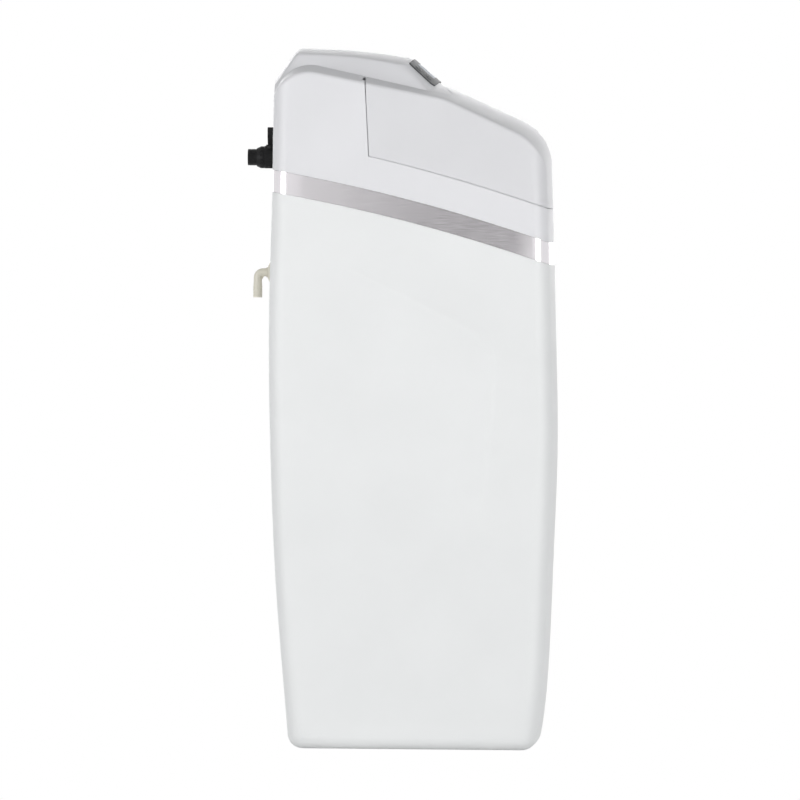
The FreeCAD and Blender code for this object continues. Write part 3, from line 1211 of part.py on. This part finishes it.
tank = make_tank()
wall_out, wall_in = wall_span(tank, OVERFLOW_X, OVERFLOW_Z)
overflow_seats = [cylinder(FLANGE_TAIL_R + 0.3, (OVERFLOW_X, 180, OVERFLOW_Z), (OVERFLOW_X, 260, OVERFLOW_Z)),
                  cylinder(FLANGE_R + 1, (OVERFLOW_X, wall_out, OVERFLOW_Z), (OVERFLOW_X, 260, OVERFLOW_Z)),
                  cylinder(FLANGE_R + 1, (OVERFLOW_X, 180, OVERFLOW_Z), (OVERFLOW_X, wall_in, OVERFLOW_Z))]
tank = tank.cut(overflow_seats)
keep("brine_tank", tank)
keep("trim_band", make_band())
cover, lid = make_cover_and_lid()
keep("cover", cover, merge=False)
keep("salt_lid", lid)
keep("hinge_pins", make_hinge_pins())
bezel, window, keys, board = make_display()
keep("display_bezel", bezel)
keep("display_window", window)
for name, key in zip(("key_menu", "key_set", "key_up", "key_down"), keys):
    keep(name, key)
keep("display_board", board)
collar_low = make_vessel()
make_valve(collar_low)
make_bypass()
make_brine_side()
make_overflow(wall_out, wall_in)
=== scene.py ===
"""Looks of the cabinet water softener: finishes, fine details, light and camera. Metres."""
import json
import math

import bmesh
import bpy
from mathutils import Matrix, Vector


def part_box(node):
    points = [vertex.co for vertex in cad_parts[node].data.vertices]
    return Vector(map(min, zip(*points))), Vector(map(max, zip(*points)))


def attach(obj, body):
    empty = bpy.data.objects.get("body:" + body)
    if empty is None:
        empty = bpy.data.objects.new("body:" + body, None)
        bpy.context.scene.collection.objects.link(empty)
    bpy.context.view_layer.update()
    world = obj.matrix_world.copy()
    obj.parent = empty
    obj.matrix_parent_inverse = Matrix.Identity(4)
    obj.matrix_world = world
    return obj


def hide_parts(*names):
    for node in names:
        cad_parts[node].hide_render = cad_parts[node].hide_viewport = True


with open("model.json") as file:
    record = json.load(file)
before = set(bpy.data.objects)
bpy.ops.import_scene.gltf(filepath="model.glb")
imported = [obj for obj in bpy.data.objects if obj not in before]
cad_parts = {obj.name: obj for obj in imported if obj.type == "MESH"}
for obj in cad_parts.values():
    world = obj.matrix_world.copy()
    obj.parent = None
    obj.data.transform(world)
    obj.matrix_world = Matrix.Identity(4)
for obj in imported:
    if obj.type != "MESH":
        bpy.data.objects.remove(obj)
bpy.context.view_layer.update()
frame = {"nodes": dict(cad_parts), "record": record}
record = frame["record"]
nodes = frame["nodes"]
body_of_node = {n: b for b, group in record["behaviour"]["bodies"].items() for n in group}
slot_of_node = {s["node"]: s["material_slot"] for s in record["subparts"]}
slot_colour = {m["slot"]: m["base_color"][:3] for m in record["materials"]}

MM = 0.001
SMOOTH_ANGLE = math.radians(28)
WELD_DISTANCE = 0.02 * MM


# Materials

NOISE_LOW, NOISE_HIGH = 0.3, 0.7
CLOUD_SCALE = 7.0
CLOUD_DETAIL = 3.0
GRAIN_EDGE = 0.6
GLOSS_SCALE = 35.0
GLOSS_SPREAD = 0.03
LACQUER_ROUGHNESS = 0.12
TURNING_SCALE = 900.0
TURNING_DEPTH = 0.01 * MM
TURNING_TONES = (0.92, 1.06)
TURNING_GLOSS_BELOW, TURNING_GLOSS_ABOVE = 0.06, 0.08
PLATING_LINE_SCALE = 1600.0
PLATING_LINE_STRETCH = (1, 0.02, 1)
PLATING_LINE_DEPTH = 0.004 * MM
PLATING_CLOUD_SCALE = 30.0
PLATING_SHADE = 1.2
PLATING_TONES = (0.985, 1.015)
PLATING_GLOSS_BELOW, PLATING_GLOSS_ABOVE = 0.02, 0.03
BED_TONES = (0.7, 1.25)
STRAND_LEAN = 0.6
STRAND_SCALE = 18.0
STRAND_WANDER = 1.2
STRAND_DETAIL = 2.0
STRAND_DEPTH = 0.2 * MM
STRAND_TONES = (0.85, 1.2)
LAY_HEIGHT = 0.5
WRAP_ROUGHNESS = 0.35
WRAP_COAT = 0.6
WRAP_COAT_ROUGHNESS = 0.15


def new_material(name):
    """An empty material with one shader on its surface."""
    material = bpy.data.materials.new(name)
    material.use_nodes = True
    tree = material.node_tree
    tree.nodes.clear()
    out = tree.nodes.new("ShaderNodeOutputMaterial")
    shader = tree.nodes.new("ShaderNodeBsdfPrincipled")
    tree.links.new(shader.outputs["BSDF"], out.inputs["Surface"])
    return material, tree, shader


def coordinates(tree, stretch=(1, 1, 1)):
    """Object coordinates, stretched along each axis."""
    source = tree.nodes.new("ShaderNodeTexCoord")
    mapping = tree.nodes.new("ShaderNodeMapping")
    mapping.inputs["Scale"].default_value = stretch
    tree.links.new(source.outputs["Object"], mapping.inputs["Vector"])
    return mapping.outputs["Vector"]


def worked_out(tree, operation, first, second):
    """The result of one operation on two values, each a number or another node's output."""
    node = tree.nodes.new("ShaderNodeMath")
    node.operation = operation
    for socket, value in zip(node.inputs, (first, second)):
        if isinstance(value, bpy.types.NodeSocket):
            tree.links.new(value, socket)
        else:
            socket.default_value = value
    return node.outputs["Value"]


def noise(tree, where, scale, detail=2.0, rough=0.5):
    """A noise value, with about the given number of cells to the metre."""
    node = tree.nodes.new("ShaderNodeTexNoise")
    node.inputs["Scale"].default_value = scale
    node.inputs["Detail"].default_value = detail
    node.inputs["Roughness"].default_value = rough
    tree.links.new(where, node.inputs["Vector"])
    return node.outputs["Fac"]


def spread(tree, value, low, high):
    """Maps the usual range of a noise value onto low to high."""
    node = tree.nodes.new("ShaderNodeMapRange")
    node.inputs["From Min"].default_value = NOISE_LOW
    node.inputs["From Max"].default_value = NOISE_HIGH
    node.inputs["To Min"].default_value = low
    node.inputs["To Max"].default_value = high
    tree.links.new(value, node.inputs["Value"])
    return node.outputs["Result"]


def tinted(tree, colour, value, dark, light):
    """The colour, from its dark to its light share as the value crosses the usual range of noise."""
    ramp = tree.nodes.new("ShaderNodeValToRGB")
    first, last = ramp.color_ramp.elements
    first.position = NOISE_LOW
    last.position = NOISE_HIGH
    first.color = [c * dark for c in colour] + [1]
    last.color = [min(c * light, 1) for c in colour] + [1]
    tree.links.new(value, ramp.inputs["Fac"])
    return ramp.outputs["Color"]


def bump(tree, shader, height, distance):
    """Raises the surface by up to the distance where the height is 1."""
    node = tree.nodes.new("ShaderNodeBump")
    node.inputs["Strength"].default_value = 1.0
    node.inputs["Distance"].default_value = distance
    tree.links.new(height, node.inputs["Height"])
    tree.links.new(node.outputs["Normal"], shader.inputs["Normal"])


def moulded(slot, roughness, grain=0.04 * MM, grain_scale=1400, tone=0.015, level=0.42, coat=0.0,
            shade=1.0):
    """Moulded plastic: fine grain in the tool, a faint cloud of tone and uneven gloss."""
    colour = [c * shade for c in slot_colour[slot]]
    material, tree, shader = new_material(slot)
    where = coordinates(tree)
    clouds = noise(tree, where, CLOUD_SCALE, detail=CLOUD_DETAIL)
    fine = noise(tree, where, grain_scale, rough=GRAIN_EDGE)
    gloss = noise(tree, where, GLOSS_SCALE)
    uneven = spread(tree, gloss, roughness - GLOSS_SPREAD, roughness + GLOSS_SPREAD)
    tree.links.new(tinted(tree, colour, clouds, 1 - tone, 1 + tone), shader.inputs["Base Color"])
    tree.links.new(uneven, shader.inputs["Roughness"])
    shader.inputs["Specular IOR Level"].default_value = level
    if coat:
        shader.inputs["Coat Weight"].default_value = coat
        shader.inputs["Coat Roughness"].default_value = LACQUER_ROUGHNESS
    bump(tree, shader, fine, grain)
    return material


def turned_metal(slot, roughness, stretch):
    """Metal with fine turning marks across its axis."""
    material, tree, shader = new_material(slot)
    marks = noise(tree, coordinates(tree, stretch), TURNING_SCALE)
    uneven = spread(tree, marks, roughness - TURNING_GLOSS_BELOW, roughness + TURNING_GLOSS_ABOVE)
    tree.links.new(tinted(tree, slot_colour[slot], marks, *TURNING_TONES), shader.inputs["Base Color"])
    tree.links.new(uneven, shader.inputs["Roughness"])
    shader.inputs["Metallic"].default_value = 1.0
    bump(tree, shader, marks, TURNING_DEPTH)
    return material


def plated(slot, roughness):
    """Plated plastic with a satin shine and fine lines along the strip."""
    material, tree, shader = new_material(slot)
    lines = noise(tree, coordinates(tree, PLATING_LINE_STRETCH), PLATING_LINE_SCALE)
    clouds = noise(tree, coordinates(tree), PLATING_CLOUD_SCALE)
    colour = [c * PLATING_SHADE for c in slot_colour[slot]]
    uneven = spread(tree, lines, roughness - PLATING_GLOSS_BELOW, roughness + PLATING_GLOSS_ABOVE)
    tree.links.new(tinted(tree, colour, clouds, *PLATING_TONES), shader.inputs["Base Color"])
    tree.links.new(uneven, shader.inputs["Roughness"])
    shader.inputs["Metallic"].default_value = 1.0
    bump(tree, shader, lines, PLATING_LINE_DEPTH)
    return material


def grains(slot, size, depth, roughness):
    """A bed of loose grains: a cell to each grain, with its own tone and a rounded top."""
    material, tree, shader = new_material(slot)
    cells = tree.nodes.new("ShaderNodeTexVoronoi")
    cells.inputs["Scale"].default_value = 1 / size
    tree.links.new(coordinates(tree), cells.inputs["Vector"])
    tone = tree.nodes.new("ShaderNodeSeparateColor")
    tree.links.new(cells.outputs["Color"], tone.inputs["Color"])
    colour = tinted(tree, slot_colour[slot], tone.outputs["Red"], *BED_TONES)
    tree.links.new(colour, shader.inputs["Base Color"])
    shader.inputs["Roughness"].default_value = roughness
    bump(tree, shader, worked_out(tree, "SUBTRACT", 1.0, cells.outputs["Distance"]), depth)
    return material


def lay_of_strands(tree, lean):
    """Bands of glass strands that climb the vessel at a lean, low enough that two lays add up to 1."""
    source = tree.nodes.new("ShaderNodeTexCoord")
    turn = tree.nodes.new("ShaderNodeMapping")
    turn.inputs["Rotation"].default_value = (0, lean, 0)
    tree.links.new(source.outputs["Object"], turn.inputs["Vector"])
    bands = tree.nodes.new("ShaderNodeTexWave")
    bands.bands_direction = "Z"
    bands.inputs["Scale"].default_value = STRAND_SCALE
    bands.inputs["Distortion"].default_value = STRAND_WANDER
    bands.inputs["Detail"].default_value = STRAND_DETAIL
    tree.links.new(turn.outputs["Vector"], bands.inputs["Vector"])
    return worked_out(tree, "MULTIPLY", bands.outputs["Fac"], LAY_HEIGHT)


def wound_vessel(slot):
    """Wound glass fibre under resin: two crossing lays of strands and a glossy coat."""
    material, tree, shader = new_material(slot)
    strands = worked_out(tree, "ADD", lay_of_strands(tree, STRAND_LEAN), lay_of_strands(tree, -STRAND_LEAN))
    tree.links.new(tinted(tree, slot_colour[slot], strands, *STRAND_TONES), shader.inputs["Base Color"])
    shader.inputs["Roughness"].default_value = WRAP_ROUGHNESS
    shader.inputs["Coat Weight"].default_value = WRAP_COAT
    shader.inputs["Coat Roughness"].default_value = WRAP_COAT_ROUGHNESS
    bump(tree, shader, strands, STRAND_DEPTH)
    return material


# Black fittings: dull, and much darker than the slot's colour
BLACK = dict(tone=0.08, level=0.15, shade=0.4)

MOULDED_LOOKS = {
    "cabinet_plastic": dict(roughness=0.50, grain=0.06 * MM, grain_scale=1100),
    "cover_plastic": dict(roughness=0.46, grain=0.05 * MM, grain_scale=1500, shade=0.97),
    "lid_plastic": dict(roughness=0.46, grain=0.05 * MM, grain_scale=1500, shade=0.9),
    "bezel_plastic": dict(roughness=0.5, grain=0.03 * MM, grain_scale=2200, level=0.12, shade=0.24),
    "window_plastic": dict(roughness=0.5, grain=0.0, tone=0.03, level=0.12, shade=4.2),
    "key_plastic": dict(roughness=0.5, grain=0.02 * MM, grain_scale=2500, level=0.15, shade=0.45),
    "board_laminate": dict(roughness=0.40, tone=0.08, grain_scale=2500, coat=0.3),
    "boot_plastic": dict(roughness=0.6, grain=0.12 * MM, grain_scale=900),
    "riser_plastic": dict(roughness=0.35),
    "strainer_plastic": dict(roughness=0.55),
    "seal_rubber": dict(roughness=0.7, grain=0.05 * MM, grain_scale=2500, level=0.3),
    "valve_plastic": dict(roughness=0.48, grain=0.06 * MM, grain_scale=1800, tone=0.06),
    "piston_plastic": dict(roughness=0.25),
    "guide_plastic": dict(roughness=0.42),
    "bracket_plastic": dict(roughness=0.5, grain=0.06 * MM, tone=0.05),
    "gear_plastic": dict(roughness=0.38),
    "turbine_plastic": dict(roughness=0.35),
    "ivory_plastic": dict(roughness=0.38, grain=0.03 * MM, grain_scale=2000, tone=0.03, shade=0.9),
    "bypass_plastic": dict(roughness=0.46, grain=0.08 * MM, grain_scale=1600, **BLACK),
    "rotor_plastic": dict(roughness=0.42, grain=0.06 * MM, grain_scale=1800, **BLACK),
    "stub_plastic": dict(roughness=0.42, grain=0.05 * MM, grain_scale=1800, **BLACK),
    "nut_plastic": dict(roughness=0.46, grain=0.06 * MM, grain_scale=1800, **BLACK),
    "well_plastic": dict(roughness=0.45),
    "cap_plastic": dict(roughness=0.45),
    "float_plastic": dict(roughness=0.7, grain=0.3 * MM, grain_scale=500),
    "pipe_plastic": dict(roughness=0.32, coat=0.3),
    "grid_plastic": dict(roughness=0.5),
}


def make_materials():
    """The finish of each slot in the record."""
    made = {slot: moulded(slot, **look) for slot, look in MOULDED_LOOKS.items()}
    made["band_plastic"] = plated("band_plastic", roughness=0.15)
    made["vessel_wrap"] = wound_vessel("vessel_wrap")
    made["resin_beads"] = grains("resin_beads", size=1.2 * MM, depth=0.4 * MM, roughness=0.35)
    made["gravel"] = grains("gravel", size=6 * MM, depth=2 * MM, roughness=0.7)
    made["hinge_steel"] = turned_metal("hinge_steel", roughness=0.3, stretch=(0.05, 1, 1))
    made["pinion_brass"] = turned_metal("pinion_brass", roughness=0.3, stretch=(1, 0.05, 1))
    made["motor_steel"] = turned_metal("motor_steel", roughness=0.42, stretch=(1, 0.1, 1))
    missing = set(slot_colour) - set(made)
    assert not missing, missing
    return made


# Pieces that stand for the solids

def shade_smooth(bm):
    """Smooth faces, with a sharp edge wherever two faces meet at more than the smooth angle."""
    for face in bm.faces:
        face.smooth = True
    for edge in bm.edges:
        edge.smooth = len(edge.link_faces) == 2 and edge.calc_face_angle(0.0) < SMOOTH_ANGLE


def finished(node, materials):
    """Stands a merged copy of a solid in its place, smooth but for the solid's own edges."""
    mesh = nodes[node].data.copy()
    mesh.materials.clear()
    bm = bmesh.new()
    bm.from_mesh(mesh)
    bmesh.ops.remove_doubles(bm, verts=bm.verts, dist=WELD_DISTANCE)
    shade_smooth(bm)
    bm.to_mesh(mesh)
    bm.free()
    mesh.materials.append(materials[slot_of_node[node]])
    piece = bpy.data.objects.new(node + "_skin", mesh)
    bpy.context.scene.collection.objects.link(piece)
    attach(piece, body_of_node[node])
    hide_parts(node)


# Fine details that the solids leave out

DETAIL_STEPS = 48
DETAIL_ROOT = 0.3 * MM
THREAD_PITCH = 1.8 * MM
THREAD_LENGTH = 13.0 * MM
THREAD_RISE = 0.32 * MM
THREAD_START = THREAD_LENGTH + 0.5 * MM
THREAD_FOOT_SHARE, THREAD_TOP_SHARE = 0.46, 0.12
STUB_RADIUS = 13.2 * MM
BARB_COUNT = 4
BARB_PITCH = 4.6 * MM
BARB_LEAD = 0.05 * MM
BARB_RISE = 0.55 * MM
BARB_BACK_RISE = 0.45 * MM
BARB_CROWN_SHARE, BARB_BACK_SHARE = 0.72, 0.8
LEG_RADIUS = 7.1 * MM
SPIGOT_RADIUS = 5.0 * MM
SPIGOT_AXIS_DROP = 5.8 * MM
TIP_MARGIN = 1.0 * MM


def closed_outline(bm, corners):
    """A closed outline of (radius, place along the axis) corners, ready to be spun about Z."""
    verts = [bm.verts.new((radius, 0, along)) for radius, along in corners]
    edges = [bm.edges.new(pair) for pair in zip(verts, verts[1:] + verts[:1])]
    return verts, edges


def settled(bm, name, where, axis, node, materials):
    """Stands a detail made along Z at its place on a solid, which it rides with and is finished as."""
    turn = Vector((0, 0, 1)).rotation_difference(Vector(axis)).to_matrix().to_4x4()
    bmesh.ops.transform(bm, matrix=Matrix.Translation(where) @ turn, verts=bm.verts)
    bmesh.ops.recalc_face_normals(bm, faces=bm.faces)
    shade_smooth(bm)
    mesh = bpy.data.meshes.new(name)
    bm.to_mesh(mesh)
    bm.free()
    mesh.materials.append(materials[slot_of_node[node]])
    piece = bpy.data.objects.new(name, mesh)
    bpy.context.scene.collection.objects.link(piece)
    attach(piece, body_of_node[node])


def barbs(name, where, axis, radius, node, materials):
    """Rings that hold a hose: each rises slowly from the tip and ends in a steep shoulder."""
    for i in range(BARB_COUNT):
        tip = BARB_PITCH * i
        crown = tip + BARB_PITCH * BARB_CROWN_SHARE
        back = tip + BARB_PITCH * BARB_BACK_SHARE
        bm = bmesh.new()
        verts, edges = closed_outline(bm, (
            (radius - DETAIL_ROOT, tip),
            (radius + BARB_LEAD, tip),
            (radius + BARB_RISE, crown),
            (radius + BARB_BACK_RISE, back),
            (radius - DETAIL_ROOT, back),
        ))
        bmesh.ops.spin(bm, geom=verts + edges, cent=(0, 0, 0), axis=(0, 0, 1), angle=2 * math.pi,
                       steps=DETAIL_STEPS, use_merge=True)
        settled(bm, "%s_%d" % (name, i + 1), where, axis, node, materials)


def thread(name, where, axis, crest, node, materials):
    """A helical ridge around a plain end, pinched into the surface where it starts and stops."""
    bm = bmesh.new()
    foot, top = crest - DETAIL_ROOT, crest + THREAD_RISE
    middle = THREAD_PITCH / 2
    half_foot = THREAD_PITCH * THREAD_FOOT_SHARE
    half_top = THREAD_PITCH * THREAD_TOP_SHARE
    first, edges = closed_outline(bm, (
        (foot, middle - half_foot),
        (top, middle - half_top),
        (top, middle + half_top),
        (foot, middle + half_foot),
    ))
    steps = int((THREAD_LENGTH / THREAD_PITCH - 1) * DETAIL_STEPS)
    spun = bmesh.ops.spin(bm, geom=first + edges, cent=(0, 0, 0), axis=(0, 0, 1),
                          dvec=(0, 0, THREAD_PITCH / DETAIL_STEPS),
                          angle=2 * math.pi * steps / DETAIL_STEPS, steps=steps)
    last = [e for e in spun["geom_last"] if isinstance(e, bmesh.types.BMVert)]
    for end in (first, last):
        point = sum((v.co for v in end), Vector()) / len(end)
        point.xy = point.xy.normalized() * foot
        bmesh.ops.pointmerge(bm, verts=end, merge_co=point)
    settled(bm, name, where, axis, node, materials)


def make_details(materials):
    """Threads on the pipe ends and barbs on the two hose ends."""
    for node in ("inlet_stub", "outlet_stub"):
        low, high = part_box(node)
        start = ((low[0] + high[0]) / 2, high[1] - THREAD_START, (low[2] + high[2]) / 2)
        thread(node + "_thread", start, (0, 1, 0), STUB_RADIUS, node, materials)
    low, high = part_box("overflow_elbow")
    tip = ((low[0] + high[0]) / 2, high[1] - LEG_RADIUS, low[2] + TIP_MARGIN)
    barbs("overflow_barb", tip, (0, 0, 1), LEG_RADIUS, "overflow_elbow", materials)
    low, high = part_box("drain_spigot")
    tip = ((low[0] + high[0]) / 2, high[1] - TIP_MARGIN, high[2] - SPIGOT_AXIS_DROP)
    barbs("drain_barb", tip, (0, -1, 0), SPIGOT_RADIUS, "drain_spigot", materials)


# Light, floor and camera

WORLD_LIGHT = 0.46
OVERHEAD_LIGHT = 0.24
SIDE_HEIGHT, OVERHEAD_HEIGHT = 0.1, 0.8
DAYLIGHT = (0.98, 0.99, 1.0, 1)
GAP_TURN = math.radians(1.0)
GAP_INNER = math.radians(0.8)
GAP_OUTER = math.radians(4.0)
GAP_TONE = 0.0

FLOOR_HALF_WIDTH = 30
FLOOR_DROP = 0.5 * MM
FLOOR_TONE = 0.82

LAMP_AIM = Vector((0, 0, 0.6))
# Name, place, width and height, and power in watts of each soft box
LAMPS = (
    ("front_light", (-3.6, -3.4, 1.0), (2.4, 2.4), 105),
    ("rear_light", (-3.6, 3.4, 1.0), (2.4, 2.4), 105),
    ("far_light", (4.0, 0.5, 1.6), (3.0, 2.0), 60),
)

PHOTO_PIXELS = 800
PIXEL = 1.615 * MM
# The column and row of the photograph at which the foot of the cabinet's middle shows
ORIGIN_COLUMN, ORIGIN_ROW = 411, 751.5
NEAR_SIDE_X = -0.160
# Where the photograph's centre meets the cabinet's near side
VIEW_CENTRE = Vector((
    NEAR_SIDE_X,
    (ORIGIN_COLUMN - PHOTO_PIXELS / 2) * PIXEL,
    (ORIGIN_ROW - PHOTO_PIXELS / 2) * PIXEL,
))
CAMERA_AZIMUTH = math.radians(-87.5)
CAMERA_LIFT = math.radians(1.8)
CAMERA_ROLL = math.radians(0.35)
CAMERA_DISTANCE = 13.0
SENSOR_WIDTH = 36.0
FARTHEST_SEEN = 200


def add_soft_box(name, where, size, power):
    """A soft box that faces the middle of the cabinet."""
    lamp = bpy.data.lights.new(name, "AREA")
    lamp.shape = "RECTANGLE"
    lamp.size, lamp.size_y = size
    lamp.energy = power
    soft_box = bpy.data.objects.new(name, lamp)
    soft_box.location = where
    soft_box.rotation_euler = (LAMP_AIM - Vector(where)).to_track_quat("-Z", "Y").to_euler()
    bpy.context.scene.collection.objects.link(soft_box)


def backdrop_rays(tree):
    """1 for rays that should see the plain white backdrop: camera, mirror-like and clear ones."""
    path = tree.nodes.new("ShaderNodeLightPath").outputs
    direct = worked_out(tree, "MAXIMUM", path["Is Camera Ray"], path["Is Glossy Ray"])
    return worked_out(tree, "MAXIMUM", direct, path["Is Transmission Ray"])


def studio_gap(tree):
    """White walls with the narrow dark gap between the two soft boxes, for reflections only."""
    path = tree.nodes.new("ShaderNodeLightPath")
    way = tree.nodes.new("ShaderNodeTexCoord")
    aim = tree.nodes.new("ShaderNodeVectorMath")
    aim.operation = "DOT_PRODUCT"
    aim.inputs[1].default_value = (-math.cos(GAP_TURN), math.sin(GAP_TURN), 0)
    tree.links.new(way.outputs["Generated"], aim.inputs[0])
    ramp = tree.nodes.new("ShaderNodeMapRange")
    ramp.interpolation_type = "SMOOTHSTEP"
    ramp.inputs["From Min"].default_value = math.cos(GAP_OUTER)
    ramp.inputs["From Max"].default_value = math.cos(GAP_INNER)
    ramp.inputs["To Min"].default_value = 0.0
    ramp.inputs["To Max"].default_value = 1.0
    tree.links.new(aim.outputs["Value"], ramp.inputs["Value"])
    in_gap = worked_out(tree, "MULTIPLY", ramp.outputs["Result"], path.outputs["Is Glossy Ray"])
    mix = tree.nodes.new("ShaderNodeMix")
    mix.data_type = "RGBA"
    mix.inputs["A"].default_value = (1, 1, 1, 1)
    mix.inputs["B"].default_value = (GAP_TONE, GAP_TONE, GAP_TONE, 1)
    tree.links.new(in_gap, mix.inputs["Factor"])
    return [o for o in mix.outputs if o.type == "RGBA"][0]


def light_by_height(tree):
    """Soft light that comes mostly from the sides, weaker from overhead."""
    way = tree.nodes.new("ShaderNodeTexCoord")
    parts = tree.nodes.new("ShaderNodeSeparateXYZ")
    tree.links.new(way.outputs["Generated"], parts.inputs["Vector"])
    ramp = tree.nodes.new("ShaderNodeMapRange")
    ramp.inputs["From Min"].default_value = SIDE_HEIGHT
    ramp.inputs["From Max"].default_value = OVERHEAD_HEIGHT
    ramp.inputs["To Min"].default_value = WORLD_LIGHT
    ramp.inputs["To Max"].default_value = OVERHEAD_LIGHT
    tree.links.new(parts.outputs["Z"], ramp.inputs["Value"])
    return ramp.outputs["Result"]


def make_world():
    """White to the eye, white but for the studio's gap in reflections, soft light on the rest."""
    world = bpy.data.worlds.new("studio")
    bpy.context.scene.world = world
    world.use_nodes = True
    tree = world.node_tree
    tree.nodes.clear()
    out = tree.nodes.new("ShaderNodeOutputWorld")
    seen = tree.nodes.new("ShaderNodeBackground")
    tree.links.new(studio_gap(tree), seen.inputs["Color"])
    light = tree.nodes.new("ShaderNodeBackground")
    light.inputs["Color"].default_value = DAYLIGHT
    tree.links.new(light_by_height(tree), light.inputs["Strength"])
    mix = tree.nodes.new("ShaderNodeMixShader")
    tree.links.new(backdrop_rays(tree), mix.inputs["Fac"])
    tree.links.new(light.outputs["Background"], mix.inputs[1])
    tree.links.new(seen.outputs["Background"], mix.inputs[2])
    tree.links.new(mix.outputs["Shader"], out.inputs["Surface"])


def make_floor():
    """Pale floor that throws light back up and shows plain white, as the photograph's does."""
    mesh = bpy.data.meshes.new("floor")
    bm = bmesh.new()
    bmesh.ops.create_grid(bm, x_segments=1, y_segments=1, size=FLOOR_HALF_WIDTH)
    bmesh.ops.translate(bm, verts=bm.verts, vec=(0, 0, -FLOOR_DROP))
    bm.to_mesh(mesh)
    bm.free()
    floor = bpy.data.objects.new("floor", mesh)
    bpy.context.scene.collection.objects.link(floor)
    material = bpy.data.materials.new("floor")
    material.use_nodes = True
    tree = material.node_tree
    tree.nodes.clear()
    out = tree.nodes.new("ShaderNodeOutputMaterial")
    plain = tree.nodes.new("ShaderNodeBsdfDiffuse")
    plain.inputs["Color"].default_value = (FLOOR_TONE, FLOOR_TONE, FLOOR_TONE, 1)
    white = tree.nodes.new("ShaderNodeEmission")
    mix = tree.nodes.new("ShaderNodeMixShader")
    tree.links.new(backdrop_rays(tree), mix.inputs["Fac"])
    tree.links.new(plain.outputs["BSDF"], mix.inputs[1])
    tree.links.new(white.outputs["Emission"], mix.inputs[2])
    tree.links.new(mix.outputs["Shader"], out.inputs["Surface"])
    mesh.materials.append(material)


def make_camera():
    """A long lens on the near side, at the photograph's angle and frame."""
    data = bpy.data.cameras.new("camera")
    data.sensor_width = SENSOR_WIDTH
    data.lens = SENSOR_WIDTH * CAMERA_DISTANCE / (PIXEL * PHOTO_PIXELS)
    data.clip_end = FARTHEST_SEEN
    camera = bpy.data.objects.new("camera", data)
    bpy.context.scene.collection.objects.link(camera)
    flat = math.cos(CAMERA_LIFT)
    back = Vector((
        math.sin(CAMERA_AZIMUTH) * flat,
        -math.cos(CAMERA_AZIMUTH) * flat,
        math.sin(CAMERA_LIFT),
    ))
    camera.location = VIEW_CENTRE + back * CAMERA_DISTANCE
    facing = (-back).to_track_quat("-Z", "Y").to_matrix()
    camera.rotation_euler = (facing @ Matrix.Rotation(CAMERA_ROLL, 3, "Z")).to_euler()
    bpy.context.scene.camera = camera


def make_studio():
    """The white room, its three soft boxes and the camera."""
    make_world()
    make_floor()
    for name, where, size, power in LAMPS:
        add_soft_box(name, where, size, power)
    bpy.context.scene.view_settings.view_transform = "Standard"
    make_camera()


materials = make_materials()
for node in sorted(nodes):
    finished(node, materials)
make_details(materials)
make_studio()
